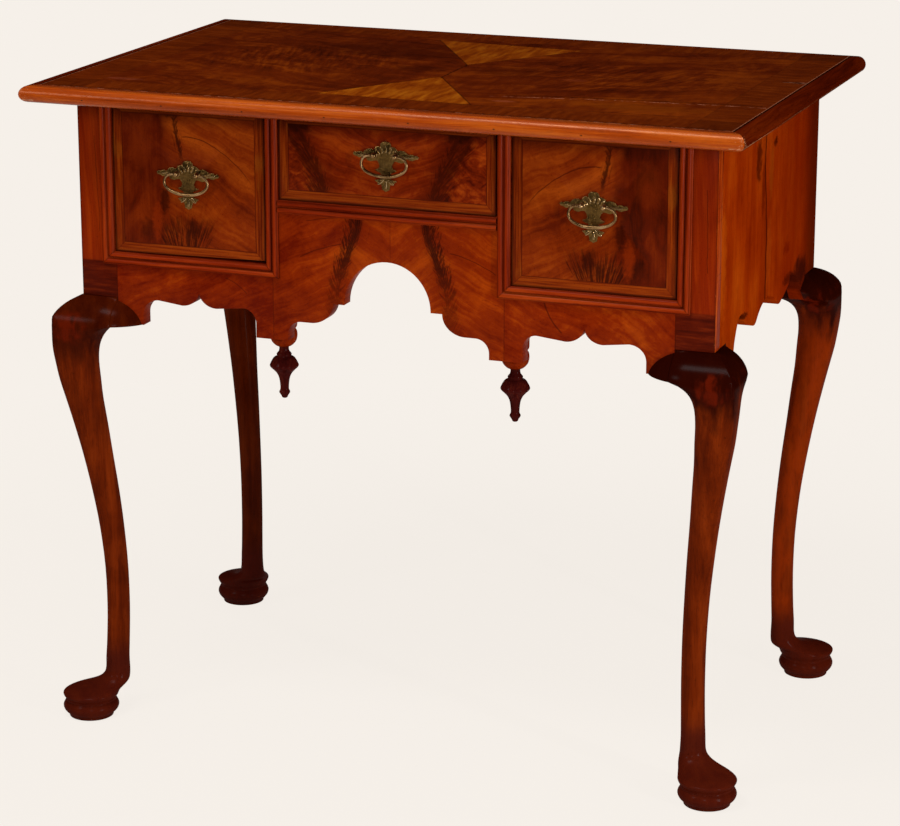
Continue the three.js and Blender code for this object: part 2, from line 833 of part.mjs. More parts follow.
function add_drawer(name, middle_x, floor_z, opening_width, tail_count, handle_drop) {
  const drawer = new THREE.Group();
  drawer.position.set(middle_x, front_y, floor_z);
  lowboy.add(drawer);

  const half = opening_width / 2 - running_gap;
  const front_top = opening_top - floor_z - drawer_head_gap;
  const side_top = front_top - side_drop;
  const front_back = drawer_front_thickness;
  const back_inner = drawer_length - drawer_wall;
  const groove = [drawer_bottom_rise, drawer_bottom_rise + drawer_bottom_thickness + 2 * joint_gap];
  const wall_inner = half - drawer_wall;
  const groove_bed = wall_inner + groove_depth;
  const tail_low = groove[1] + tail_margin;
  const tail_high = side_top - back_drop - tail_margin;
  const shoulder = front_back + joint_gap;
  const front_tails = tails(shoulder, shoulder - tail_length, tail_low, tail_high, tail_count);
  const back_tails = tails(back_inner - joint_gap, drawer_length, tail_low, tail_high, tail_count);
  const handle_height = overall_height - handle_drop - floor_z;

  // Front, with blind sockets, the groove for the bottom and holes for the handle
  const front = box([-half, half], [0, front_back], [joint_gap, front_top]);
  const front_cutters = [
    box([-groove_bed, groove_bed], [front_back - groove_depth, front_back + cut_overrun], groove),
  ];
  for (const tail of front_tails) {
    front_cutters.push(socket(tail, wall_inner - joint_gap, half + cut_overrun, cut_overrun));
    front_cutters.push(socket(tail, -half - cut_overrun, joint_gap - wall_inner, cut_overrun));
  }
  for (const post_x of [-post_spacing / 2, post_spacing / 2]) {
    const hole = new THREE.CylinderGeometry(
      shank_radius + joint_gap,
      shank_radius + joint_gap,
      drawer_front_thickness + 2 * cut_overrun,
      post_sides,
    );
    front_cutters.push(hole.translate(post_x, front_back / 2, handle_height));
  }
  add_piece(drawer, `${name}_front`, cut(front, ...front_cutters), walnut);

  // Sides, with tails at both ends
  const outline = [
    [shoulder, joint_gap],
    [back_inner - joint_gap, joint_gap],
    ...back_tails.flat(),
    [back_inner - joint_gap, side_top],
    [shoulder, side_top],
    ...front_tails.map((tail) => [...tail].reverse()).reverse().flat(),
  ];
  const side = cut(
    upright_along(outline, wall_inner, half),
    box([wall_inner - cut_overrun, groove_bed], [-cut_overrun, drawer_length + cut_overrun], groove),
  );
  add_piece(drawer, `${name}_side_left`, mirrored(side, -1, 1), pine);
  add_piece(drawer, `${name}_side_right`, side, pine);

  // Back, over the bottom, cut for the tails
  const back_cutters = [];
  for (const tail of back_tails) {
    back_cutters.push(socket(tail, wall_inner - joint_gap, half + cut_overrun, cut_overrun));
    back_cutters.push(socket(tail, -half - cut_overrun, joint_gap - wall_inner, cut_overrun));
  }
  const back = box([-half, half], [back_inner, drawer_length], [groove[1], side_top - back_drop]);
  add_piece(drawer, `${name}_back`, cut(back, ...back_cutters), pine);

  // Bottom, slid into the grooves from behind
  const bottom = box(
    [joint_gap - groove_bed, groove_bed - joint_gap],
    [front_back - groove_depth + joint_gap, drawer_length],
    [groove[0] + joint_gap, groove[1] - joint_gap],
  );
  add_piece(drawer, `${name}_bottom`, bottom, pine);

  add_handle(drawer, name, handle_height);
}

// Handles. Points of the plate's right half from its top to its tip, as shares of its half width
// and of its height, about the middle of the line through the posts.
const plate_point_shares = [
  [0, 0.277],
  [0.09, 0.268],
  [0.16, 0.228],
  [0.168, 0.186],
  [0.152, 0.165],
  [0.218, 0.179],
  [0.3, 0.158],
  [0.35, 0.116],
  [0.365, 0.095],
  [0.457, 0.119],
  [0.563, 0.109],
  [0.65, 0.07],
  [0.685, 0.037],
  [0.749, 0.054],
  [0.835, 0.049],
  [0.868, 0.028],
  [0.939, 0.039],
  [1, 0.0035],
  [0.964, -0.037],
  [0.873, -0.053],
  [0.807, -0.077],
  [0.726, -0.07],
  [0.667, -0.046],
  [0.594, -0.077],
  [0.569, -0.116],
  [0.457, -0.139],
  [0.345, -0.116],
  [0.264, -0.112],
  [0.213, -0.16],
  [0.19, -0.221],
  [0.239, -0.274],
  [0.338, -0.289],
  [0.279, -0.323],
  [0.168, -0.351],
  [0.122, -0.41],
  [0.178, -0.474],
  [0.338, -0.502],
  [0.259, -0.551],
  [0.213, -0.589],
  [0.142, -0.579],
  [0.117, -0.639],
  [0.112, -0.684],
  [0, -0.723],
];

function plate_geometry() {
  const right = plate_point_shares.map(([x_share, z_share]) => [
    x_share * plate_half_width,
    z_share * plate_height,
  ]);
  const left = right.slice(1, -1).reverse().map(([x, z]) => [-x, z]);
  const plate = upright_across([...right, ...left], -joint_gap - plate_thickness, -joint_gap);
  const holes = [-post_spacing / 2, post_spacing / 2].map((x) => {
    const [radius, length] = [shank_radius + joint_gap, plate_thickness + 2 * cut_overrun];
    return new THREE.CylinderGeometry(radius, radius, length, post_sides).translate(x, -plate_thickness, 0);
  });
  return cut(plate, ...holes);
}

// A post: clinched inside the drawer, through the front and plate, ending in a ball with an eye.
function post_geometry() {
  const inside = -drawer_front_thickness - joint_gap;
  const collar = 2 * joint_gap + plate_thickness;
  const profile = [
    [0, inside - clinch_thickness],
    [clinch_radius, inside - clinch_thickness],
    [clinch_radius, inside],
    [shank_radius, inside],
    [shank_radius, collar],
    [collar_radius, collar],
    [collar_radius, collar + collar_thickness],
  ];
  const ball_steps = curve_steps + 2;
  const first_step = 2;
  for (let i = first_step; i <= ball_steps; i += 1) {
    const turn = (i / ball_steps) * Math.PI;
    profile.push([eye_ball_radius * Math.sin(turn), eye_reach - eye_ball_radius * Math.cos(turn)]);
  }
  profile.at(-1)[0] = 0;
  const post = turned(profile, post_sides);
  const eye = new THREE.CylinderGeometry(
    bail_end_radius + joint_gap,
    bail_end_radius + joint_gap,
    2 * (eye_ball_radius + cut_overrun),
    post_sides,
  );
  eye.rotateZ(Math.PI / 2);
  eye.translate(0, 0, eye_reach);
  return cut(post, eye).rotateX(Math.PI / 2);
}

// The bail: an oval wire, thicker in the middle, whose ends turn in towards the posts.
// Each row: a place on its line, as a share of its half width and of its drop.
const bail_line_shares = [
  [0.78, -0.035],
  [0.915, -0.15],
  [0.993, -0.335],
  [0.97, -0.56],
  [0.843, -0.74],
  [0.637, -0.875],
  [0.337, -0.975],
  [0, -1],
];

function bail_geometry() {
  const eye_x = post_spacing / 2;
  const places = [
    new THREE.Vector3(eye_x - bail_end_inset, 0, 0),
    new THREE.Vector3(eye_x + eye_ball_radius + bail_end_radius / 2, 0, 0),
  ];
  for (const [x_share, z_share] of bail_line_shares) {
    places.push(new THREE.Vector3(x_share * bail_half_width, 0, z_share * bail_drop));
  }
  const other_side = places.slice(0, -1).reverse().map((place) => new THREE.Vector3(-place.x, 0, place.z));
  const line = new THREE.CatmullRomCurve3([...places, ...other_side], false, 'centripetal');
  const stations = [];
  for (let i = 0; i <= bail_steps; i += 1) {
    const share = i / bail_steps;
    const along = line.getTangentAt(share);
    const swelling = Math.sin(share * Math.PI) ** 4;
    const radius = bail_end_radius + (bail_middle_radius - bail_end_radius) * swelling;
    stations.push({
      middle: line.getPointAt(share),
      u_half: new THREE.Vector3(along.z, 0, -along.x).multiplyScalar(radius),
      v_half: new THREE.Vector3(0, radius, 0),
      first_corner: 1,
      other_corners: 1,
    });
  }
  return swept(stations, bail_sides);
}

function add_handle(drawer, name, height) {
  const handle = new THREE.Group();
  handle.position.set(0, 0, height);
  drawer.add(handle);
  add_piece(handle, `${name}_plate`, plate_geometry(), brass);
  for (const [side, sign] of [['left', -1], ['right', 1]]) {
    const post = add_piece(handle, `${name}_post_${side}`, post_geometry(), brass);
    post.position.x = (sign * post_spacing) / 2;
  }
  const bail = add_piece(handle, `${name}_bail`, bail_geometry(), brass);
  bail.position.y = -eye_reach;
}

for (const [side, sign] of [['left', -1], ['right', 1]]) {
  const middle_x = sign * side_opening_middle;
  const opening = [side_opening_floor, side_opening_width];
  add_drawer(`${side}_drawer`, middle_x, ...opening, deep_tails, side_handle_drop);
}
const centre_opening = [centre_opening_floor, centre_opening_width];
add_drawer('centre_drawer', 0, ...centre_opening, shallow_tails, centre_handle_drop);

export default lowboy;
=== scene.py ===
# %% [markdown]
# # A veneered lowboy
# This lesson dresses a finished CAD model of a small dressing table for a photograph. The model is
# loaded as a fixed frame. Straight boards get a copy with eased edges, and turned and carved pieces
# are made again with more sides. Every surface gets a finish worked out by nodes, because no
# picture is read from disk.

# %% Load the frame
import math

import bmesh
import bpy
from mathutils import Matrix, Vector


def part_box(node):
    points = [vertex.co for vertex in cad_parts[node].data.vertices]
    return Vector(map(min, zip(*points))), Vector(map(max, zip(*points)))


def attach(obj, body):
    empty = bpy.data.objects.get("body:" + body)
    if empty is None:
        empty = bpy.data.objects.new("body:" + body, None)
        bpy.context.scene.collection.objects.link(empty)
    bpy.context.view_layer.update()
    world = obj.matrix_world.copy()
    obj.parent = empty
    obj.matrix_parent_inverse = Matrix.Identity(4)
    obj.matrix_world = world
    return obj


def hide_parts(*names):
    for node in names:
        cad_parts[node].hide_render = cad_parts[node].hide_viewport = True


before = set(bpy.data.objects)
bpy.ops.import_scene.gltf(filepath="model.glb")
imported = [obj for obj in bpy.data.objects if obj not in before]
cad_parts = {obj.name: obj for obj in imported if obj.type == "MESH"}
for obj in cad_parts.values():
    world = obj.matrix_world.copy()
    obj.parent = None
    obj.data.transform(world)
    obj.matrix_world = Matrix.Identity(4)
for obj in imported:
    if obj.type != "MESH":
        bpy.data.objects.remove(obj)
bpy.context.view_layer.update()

# %% [markdown]
# The camera stands where the photographer's stood, to the right of the middle and above the top.
# Its place and its lens were fitted to the corners of the top, the case and the feet. A fit can
# also free the lens shift, but then other views would be off centre, so the shift stays at zero.

# %% Place the camera
MM = 0.001
IMAGE_WIDTH = 900
FOCAL_PIXELS = 3064.39
CAMERA_PLACE = Vector((1229.76, -3261.43, 1349.289)) * MM
CAMERA_YAW = 0.3617291
CAMERA_PITCH = 0.2781195
SENSOR_WIDTH = 36.0
NEAREST, FARTHEST = 0.05, 60


def camera_turn(yaw, pitch):
    level = math.cos(pitch)
    ahead = Vector((-math.sin(yaw) * level, math.cos(yaw) * level, -math.sin(pitch)))
    right = Vector((math.cos(yaw), math.sin(yaw), 0))
    up = right.cross(ahead)
    return Matrix((right, up, -ahead)).transposed().to_4x4()


lens = bpy.data.cameras.new("camera")
lens.sensor_width = SENSOR_WIDTH
lens.lens = FOCAL_PIXELS / IMAGE_WIDTH * SENSOR_WIDTH
lens.clip_start, lens.clip_end = NEAREST, FARTHEST
camera = bpy.data.objects.new("camera", lens)
bpy.context.scene.collection.objects.link(camera)
camera.matrix_world = Matrix.Translation(CAMERA_PLACE) @ camera_turn(CAMERA_YAW, CAMERA_PITCH)
bpy.context.scene.camera = camera
print("lens in mm:", round(lens.lens, 2))

# %% [markdown]
# The sizes below are the maker's, in millimetres, the same that the CAD model was built from. All
# modelling is done in millimetres, and the last step of each piece turns them into metres.

# %% Sizes of the piece
TOP_HALF_WIDTH = 419
TOP_HALF_DEPTH = 266.5
EDGE_WIDTH = 18
CASE_HALF = 376
FRONT_Y = -208
BACK_Y = 220
CASE_TOP = 742.7
BOARD = 18
BACK_BOARD = 14
GAP = 0.3
CORNER_HEIGHT = 514
KNEE_HEIGHT = 484
KNEE_MIDDLE = 478
KNEE_REACH = 30
KNEE_SHOULDER = 20
LEG_WIDTH = 44
BLOCK_REACH = 30.4
STILE = 42.5
OPENING_OUTER = 333.5
DIVIDER_OUTER = 144.5
CENTRE_HALF = 129.5
CENTRE_FLOOR = 643
SIDE_FLOOR = 568
BRACKET_TIP = 32
SIDE_MIDDLE = 239
SIDES = (("left", -1), ("right", 1))
knee_swell = BOARD + KNEE_REACH
face_share = math.sqrt(1 - (BOARD / knee_swell) ** 2)
knee_rise = (CORNER_HEIGHT - KNEE_MIDDLE) / face_share
knee_run = (LEG_WIDTH + BLOCK_REACH - KNEE_SHOULDER) / face_share
print("the knee's swelling is", round(knee_rise), "mm high and", round(knee_run), "mm long")

# %% [markdown]
# A finish is a material made of nodes. Written link by link, even a simple grain takes a page, so
# one small class wraps a socket and lets Python's operators add Math nodes. Any other node comes
# from one method, which sets the node's settings first and then fills its sockets. A colour is
# written as the red, green and blue of a display, and is turned into linear light on the way in.

# %% Sockets that take part in sums
class Amount:
    """A number that a node gives out, which changes over the surface."""

    def __init__(self, finish, socket):
        self.finish, self.socket = finish, socket

    def maths(self, operation, *others):
        return self.finish.node("ShaderNodeMath", {"operation": operation}, *others)

    def __add__(self, other):
        return self.maths("ADD", self, other)

    __radd__ = __add__

    def __sub__(self, other):
        return self.maths("SUBTRACT", self, other)

    def __rsub__(self, other):
        return self.maths("SUBTRACT", other, self)

    def __mul__(self, other):
        return self.maths("MULTIPLY", self, other)

    __rmul__ = __mul__

    def __truediv__(self, other):
        return self.maths("DIVIDE", self, other)

    def __abs__(self):
        return self.maths("ABSOLUTE", self)

    def __pow__(self, other):
        return self.maths("POWER", self, other)

    def least(self, other):
        return self.maths("MINIMUM", self, other)

    def most(self, other):
        return self.maths("MAXIMUM", self, other)

    def above(self, limit):
        return self.maths("GREATER_THAN", self, limit)

    def ramp(self, start, end, low=0.0, high=1.0):
        """Eases from low to high while this number goes from start to end."""
        settings = {"interpolation_type": "SMOOTHSTEP"}
        return self.finish.node("ShaderNodeMapRange", settings, self, start, end, low, high)

    def fade(self, start, end, high=1.0):
        """Eases from high to 0 while this number goes from start to end."""
        return self.ramp(start, end, high, 0.0)


def from_display(red, green, blue):
    """A colour given in the 0 to 255 of a display, as the linear light that nodes use."""
    shares = [value / 255 for value in (red, green, blue)]
    linear = [s / 12.92 if s <= 0.04045 else ((s + 0.055) / 1.055) ** 2.4 for s in shares]
    return (*linear, 1.0)


class NodeTree:
    """Nodes under construction, in a material or in the world."""

    def __init__(self, owner):
        owner.use_nodes = True
        self.nodes, self.links = owner.node_tree.nodes, owner.node_tree.links

    def fill(self, socket, value):
        if isinstance(value, Amount):
            self.links.new(value.socket, socket)
        elif isinstance(value, tuple):
            socket.default_value = from_display(*value)
        else:
            socket.default_value = value

    def node(self, kind, settings, *by_order, output=0, **by_name):
        made = self.nodes.new(kind)
        for name, value in settings.items():
            if name == "stops":
                elements = made.color_ramp.elements
                while len(elements) < len(value):
                    elements.new(1.0)
                for stop, (position, colour) in zip(elements, value):
                    stop.position, stop.color = position, from_display(*colour)
            else:
                setattr(made, name, value)
        for socket, value in zip(made.inputs, by_order):
            self.fill(socket, value)
        for name, value in by_name.items():
            found = [s for s in made.inputs if name in (s.identifier, s.name.replace(" ", "_"))]
            self.fill(found[0], value)
        return Amount(self, made.outputs[output])


class Finish(NodeTree):
    """A material under construction."""

    def __init__(self, name):
        self.material = bpy.data.materials.new(name)
        super().__init__(self.material)
        self.surface = self.nodes["Principled BSDF"]
        place = self.node("ShaderNodeTexCoord", {}, output="Object")
        self.place = self.node("ShaderNodeVectorMath", {"operation": "SCALE"}, place, Scale=1 / MM)
        self.axes = [self.part(self.place, axis) for axis in "XYZ"]

    def part(self, vector, axis):
        return self.node("ShaderNodeSeparateXYZ", {}, vector, output=axis)

    def facing(self, axis):
        """How squarely the surface faces along an axis, from 0 to 1."""
        return abs(self.part(self.node("ShaderNodeTexCoord", {}, output="Normal"), axis))

    def noise(self, place, scale=1.0, detail=3.0, roughness=0.55, distortion=0.0):
        return self.node(
            "ShaderNodeTexNoise",
            {"noise_dimensions": "3D"},
            Vector=place,
            Scale=scale,
            Detail=detail,
            Roughness=roughness,
            Distortion=distortion,
        )

    def figure(self, x, y, z, **settings):
        """Noise at a place given by three numbers, which can be squeezed and bent first."""
        return self.noise(self.node("ShaderNodeCombineXYZ", {}, x, y, z), **settings)

    def shades(self, tone, dark, middle, light, spread=0.16):
        """Three colours of one wood, laid over a tone that has its middle at a half."""
        stops = (0.5 - spread, dark), (0.5, middle), (0.5 + spread, light)
        return self.node("ShaderNodeValToRGB", {"stops": stops}, tone)

    def mix(self, share, first, second):
        """The first colour with a share of the second laid over it."""
        settings = {"data_type": "RGBA", "blend_type": "MIX", "clamp_factor": True}
        sockets = {"Factor_Float": share, "A_Color": first, "B_Color": second}
        return self.node("ShaderNodeMix", settings, output=2, **sockets)

    def bump(self, height, strength, distance):
        """Turns a height in shares of the distance, which is in millimetres, into a bump."""
        sockets = {"Strength": strength, "Distance": distance * MM, "Height": height}
        return self.node("ShaderNodeBump", {}, **sockets)

    def done(self, **values):
        """Fills the surface's sockets by their names and gives the material."""
        for name, value in values.items():
            self.fill(self.surface.inputs[name.replace("_", " ")], value)
        return self.material


print("a display's middle grey is", round(from_display(128, 128, 128)[0], 3), "in linear light")

# %% [markdown]
# Every wood on this piece is walnut under an old red polish, apart from the pine inside. What makes
# it look like wood is grain at three scales: broad bands that follow the figure, streaks a few
# millimetres wide, and pores that are fine dark dashes. All three are noise, squeezed across the
# grain and drawn out along it. The gloss is uneven, and a slow ripple bends reflections, because
# the veneer has sunk in two hundred years. The polish is a thin coat over the wood: a coat's weight
# scales all that it mirrors, so a light one keeps the deep red free of a grey veil.

# %% Grain and polish for every wood
POLISH = {"Specular_IOR_Level": 0.005, "Coat_Weight": 0.05, "Coat_Roughness": 0.26}
BLACKENED = (26, 4, 1)


def grain(finish, across, along, depth, seed):
    """Streaks, fine lines and pores, each from 0 to 1, for a grain along one coordinate."""
    wander = finish.figure(across * 0.004, along * 0.003, depth * 0.004 + seed, detail=2)
    bent = across + (wander - 0.5) * 34
    layer = bent * 0.085, along * 0.0045, depth * 0.05 + seed
    streaks = finish.figure(*layer, detail=4, roughness=0.6)
    lines = finish.figure(bent * 0.55, along * 0.012, depth * 0.4 - seed, roughness=0.65)
    pores = finish.figure(bent * 1.7, along * 0.07, depth * 1.5 + seed, detail=2, roughness=0.5)
    return streaks, lines, pores


def smudge(finish, across, up, place, size, seed=0.0):
    """1 at a place, easing to 0 with a ragged edge at about the given half sizes."""
    rate = 1.4 / min(size)
    ragged = finish.figure(across * rate, up * rate, seed, detail=4)
    aside, over = (across - place[0]) / size[0], (up - place[1]) / size[1]
    return (aside * aside + over * over + (ragged - 0.5) * 2.4).fade(0.1, 1.4)


def spotted(finish, colour, across, up, spots, where=1.0, seed=0.0):
    """Lays smudges over a colour. Each has a place, half sizes, a share and a shade."""
    for place, size, share, shade in spots:
        spot = smudge(finish, across, up, place, size, seed=place[0] * 0.1 + seed)
        colour = finish.mix(spot * where * share, colour, shade)
    return colour


def cracked(finish, across, up, marks, cracks, shake=3.0):
    """Adds thin crooked lines to marks. Each has two ends, a width and a sag."""
    for first, second, width, sag in cracks:
        run, rise = second[0] - first[0], second[1] - first[1]
        length = math.hypot(run, rise)
        aside, over = across - first[0], up - first[1]
        along = aside * (run / length) + over * (rise / length)
        off = over * (run / length) - aside * (rise / length)
        middle = along * (1 / length) - 0.5
        bow = (0.25 - middle * middle) * (4 * sag)
        crooked = finish.figure(across * 0.05, up * 0.05, first[0])
        near = abs(off - bow + (crooked - 0.5) * shake).fade(width * 0.35, width)
        marks = (near * along.above(0) * (length - along).above(0)).most(marks)
    return marks


def polished(finish, colour, lines, pores, gloss=0.3, ripple=0.25, **numbers):
    """Closes a wood finish: pores darken, gloss varies, and the surface ripples a little."""
    pore_marks = pores.ramp(0.58, 0.72)
    hollow = finish.noise(finish.place, scale=0.022, detail=2)
    smear = finish.noise(finish.place, scale=0.06, detail=4, roughness=0.6)
    height = hollow * ripple + lines * 0.035 - pore_marks * 0.05
    surface = {
        "Base_Color": finish.mix(pore_marks * 0.45, colour, BLACKENED),
        "Roughness": gloss + (smear - 0.5) * 0.22 + pore_marks * 0.12,
        "Normal": finish.bump(height, 0.6, 0.9),
    }
    return finish.done(**{**surface, **POLISH, **numbers})


print("polish set, level", POLISH["Specular_IOR_Level"])

# %% [markdown]
# The mouldings and the beaded strips are plain walnut. The strips are painted darker wherever
# their surface turns away from the front, which is in the quirks between the beads: partly dirt
# where a cloth doesn't reach, partly painted shade. The underside of every moulding is painted
# darker as well, as shade. The front moulding is a lighter wood than the ones at the ends. It was
# nailed on, and its corner is chipped. The amber polish tints what it mirrors.

# %% Mouldings and strips
CHIP = (196, 138, 98)
AMBER_LIGHT = [1.0, 0.55, 0.32, 1.0]
NAIL_SPACING = 97
NAIL_HEIGHT = 750.5


def strip_finish(name, upright, seed):
    finish = Finish(name)
    x, y, z = finish.axes
    across, along = (x, z) if upright else (z, x)
    streaks, lines, pores = grain(finish, across, along, y, seed)
    tone = streaks * 0.6 + lines * 0.4
    colour = finish.shades(tone, (98, 20, 1), (126, 35, 5), (152, 56, 13))
    # Painted shade, with dirt: the surface darkens where it turns away from the front.
    quirk = finish.facing("Y").fade(0.25, 0.9)
    colour = finish.mix(quirk * 0.85, colour, (34, 5, 1))
    return polished(finish, colour, lines, pores, gloss=0.28)


def moulding_finish(name, at_front, dark, middle, light, seed, level):
    finish = Finish(name)
    x, y, z = finish.axes
    along, across = (x, y) if at_front else (y, x)
    streaks, lines, pores = grain(finish, across + z, along, z, seed)
    colour = finish.shades(streaks * 0.6 + lines * 0.4, dark, middle, light)
    turn = along * (1 / NAIL_SPACING)
    nail = abs(turn.maths("FRACT", turn) - 0.5) * NAIL_SPACING + abs(z - NAIL_HEIGHT) * 1.6
    colour = finish.mix(nail.fade(0.9, 2.2, 0.85), colour, BLACKENED)
    corner = (TOP_HALF_WIDTH - abs(x)).most(y + TOP_HALF_DEPTH)
    flakes = finish.noise(finish.place, scale=0.35, detail=4, roughness=0.7)
    chips = (corner.fade(2, 18) * 0.1 + flakes).ramp(0.66, 0.72) * corner.fade(8, 20)
    colour = finish.mix(chips * 0.7, colour, CHIP)
    lip = abs(z - 747 + (streaks - 0.5) * 8).fade(0.5, 1.2)
    lip = lip * abs(x).above(TOP_HALF_WIDTH - EDGE_WIDTH) * y.ramp(-190, -130, 1.0, 0.3)
    colour = finish.mix(lip * flakes.ramp(0.44, 0.54) * 0.65, colour, CHIP)
    if not at_front:
        joint = (abs(x) - (TOP_HALF_WIDTH - EDGE_WIDTH)).fade(1.4, 3.0) * z.above(755)
        colour = finish.mix(joint * 0.9, colour, (14, 3, 1))
    # Painted shade: the underside of the moulding is darker.
    colour = finish.mix(z.fade(742, 747, 0.55), colour, (48, 8, 1))
    mirrors = {"Specular_IOR_Level": level, "Specular_Tint": AMBER_LIGHT, "Coat_Weight": 0.0}
    return polished(finish, colour, lines, pores, gloss=0.26, ripple=0.7, **mirrors)


strip_wood = strip_finish("strip_walnut", True, 11.0)
level_strip_wood = strip_finish("level_strip_walnut", False, 12.0)
pale_shades = (116, 36, 1), (148, 56, 5), (178, 84, 18)
light_wood = moulding_finish("moulding_walnut", True, *pale_shades, 1.3, 0.26)
deep_shades = (54, 9, 1), (76, 17, 1), (97, 30, 3)
dark_wood = moulding_finish("dark_moulding_walnut", False, *deep_shades, 5.2, 0.0)
print("plain finishes:", ", ".join(m.name for m in bpy.data.materials if "walnut" in m.name))

# %% [markdown]
# The sides are single boards of walnut, orange where the sun reached them. An old crack runs down
# the one on the right, beside a dark knot under the top, and both boards darken to the rear. A dark
# spot by the rear knee block on the right is painted shade.

# %% Side boards' finish
SIDE_SPOTS = [
    ((-185, 600), (16, 70), 0.5, (172, 74, 8)),
    ((8, 672), (11, 34), 0.55, (136, 56, 6)),
    ((6, 575), (13, 45), 0.4, (150, 62, 10)),
    ((-46, 692), (13, 26), 0.8, (58, 9, 0)),
    ((-24, 655), (8, 34), 0.6, (82, 14, 0)),
    ((24, 701), (9, 6), 0.8, (44, 6, 0)),
    ((86, 566), (16, 8), 0.5, (92, 10, 0)),
    ((-98, 527), (22, 5), 0.8, (40, 6, 1)),
    ((98, 528), (26, 7), 0.7, (52, 8, 1)),
    # Painted shade by the rear knee block
    ((152, 520), (34, 24), 0.9, (50, 11, 4)),
]


def side_finish():
    finish = Finish("side_walnut")
    x, y, z = finish.axes
    right = x.above(0)
    streaks, lines, pores = grain(finish, y, z, x * 0.02, 7.7)
    cloud = finish.figure(x * 0.01, y * 0.02, z * 0.01)
    tone = streaks * 0.3 + lines * 0.15 + cloud * 0.55
    colour = finish.shades(tone, (108, 22, 0), (136, 40, 1), (160, 62, 5), spread=0.18)
    colour = finish.mix(y.ramp(30, 90, 0.0, 0.5), colour, (116, 24, 1))
    colour = finish.mix(y.ramp(140, 205, 0.0, 0.75), colour, (72, 17, 2))
    colour = spotted(finish, colour, y, z, SIDE_SPOTS, where=right)
    line = z.ramp(590, 690, -5, -18)
    crooked = finish.figure(z * 0.03, 1, 4)
    split = abs(y - line + (crooked - 0.5) * 10).fade(0.8, 3.6)
    beside = (y - line).ramp(-26, 0) * (line - y).above(0)
    colour = finish.mix(beside * right * 0.3, colour, (90, 18, 0))
    colour = finish.mix(split * right * 0.8, colour, (46, 7, 1))
    dull = {"Specular_IOR_Level": 0.0, "Coat_Weight": 0.0}
    return polished(finish, colour, lines, pores, gloss=0.42, **dull)


side_wood = side_finish()
print("side finish nodes:", len(side_wood.node_tree.nodes))

# %% [markdown]
# The legs are handled and kicked more than anything else. The polish has gone nearly black on the
# knees and in the hollow of the feet, and has worn to an orange brown on the shins. The blocks and
# knees were rubbed by skirts and hands until they shone. The turned drops are dark, but the boss
# above each neck was polished with the apron it hangs from.

# %% Legs' and drops' finish
def leg_finish():
    finish = Finish("leg_walnut")
    x, y, z = finish.axes
    streaks, lines, pores = grain(finish, x + y * 0.6, z, y - x * 0.6, 3.1)
    cloud = finish.noise(finish.place, scale=0.014, detail=4, roughness=0.6)
    patch = finish.figure(x * 0.05, y * 0.05, z * 0.018, roughness=0.6)
    tone = streaks * 0.45 + lines * 0.2 + cloud * 0.35
    colour = finish.shades(tone, (56, 11, 1), (92, 27, 2), (120, 42, 6), spread=0.15)
    worn = patch.ramp(0.52, 0.66) * z.ramp(330, 410, 1.0, 0.4)
    colour = finish.mix(worn * 0.4, colour, (116, 40, 6))
    sunned = x.ramp(100, 300) * y.ramp(60, 160) * patch.ramp(0.36, 0.6, 0.2, 0.62)
    colour = finish.mix(sunned, colour, (136, 42, 2))
    knee = (z + (patch - 0.5) * 120).ramp(428, 476) * x.ramp(-200, 0, 0.72, 0.95)
    colour = finish.mix(knee, colour, (30, 3, 1))
    red = smudge(finish, abs(x), z, (382, 480), (22, 18), seed=2.0)
    colour = finish.mix(red * patch.ramp(0.46, 0.6) * 0.7, colour, (92, 20, 3))
    # Painted shade: the rear left leg is darker.
    unlit = x.fade(-200, 0) * y.ramp(0, 100)
    colour = finish.mix(unlit * 0.55, colour, (40, 8, 0))
    foot = (z + (cloud - 0.5) * 30).fade(66, 104)
    colour = finish.mix(foot * 0.8, colour, (62, 16, 9))
    flakes = finish.noise(finish.place, scale=0.22, detail=4, roughness=0.7)
    chips = flakes.ramp(0.66, 0.74) * z.fade(24, 40)
    colour = finish.mix(chips * 0.5, colour, (124, 52, 20))
    specks = finish.noise(finish.place, scale=0.12, detail=5, roughness=0.75)
    colour = finish.mix(specks.ramp(0.62, 0.74) * 0.6, colour, BLACKENED)
    shine = {"Specular_IOR_Level": 0.0, "Coat_Weight": 0.03, "Coat_Roughness": 0.2}
    return polished(finish, colour, lines, pores, ripple=0.3, **shine)


def drop_finish():
    finish = Finish("drop_walnut")
    x, y, z = finish.axes
    streaks, lines, pores = grain(finish, x, z, y, 9.4)
    tone = streaks * 0.6 + lines * 0.4
    dark = finish.shades(tone, (40, 7, 5), (58, 12, 9), (84, 28, 16))
    light = finish.shades(tone, (92, 20, 1), (118, 32, 2), (144, 52, 6))
    colour = finish.mix(z.ramp(465, 470), dark, light)
    shine = {"Specular_IOR_Level": 0.0, "Coat_Weight": 0.035, "Coat_Roughness": 0.12}
    return polished(finish, colour, lines, pores, **shine)


leg_wood = leg_finish()
drop_wood = drop_finish()
print("leg finish nodes:", len(leg_wood.node_tree.nodes))

# %% [markdown]
# The front is covered with veneer cut from a walnut crotch, where a branch left the trunk. Its
# figure is a feather: dark strands and barbs near a line, and light streaks that fall away from it
# on both sides. The sheets are opened like a book, so one half mirrors the other. Two functions
# draw the marks of a plume and the streaks beside it, and each part of the front sets its own line.

# %% Feather figure for the veneer
SEAM = (54, 9, 1)
PLUME = (34, 5, 0)


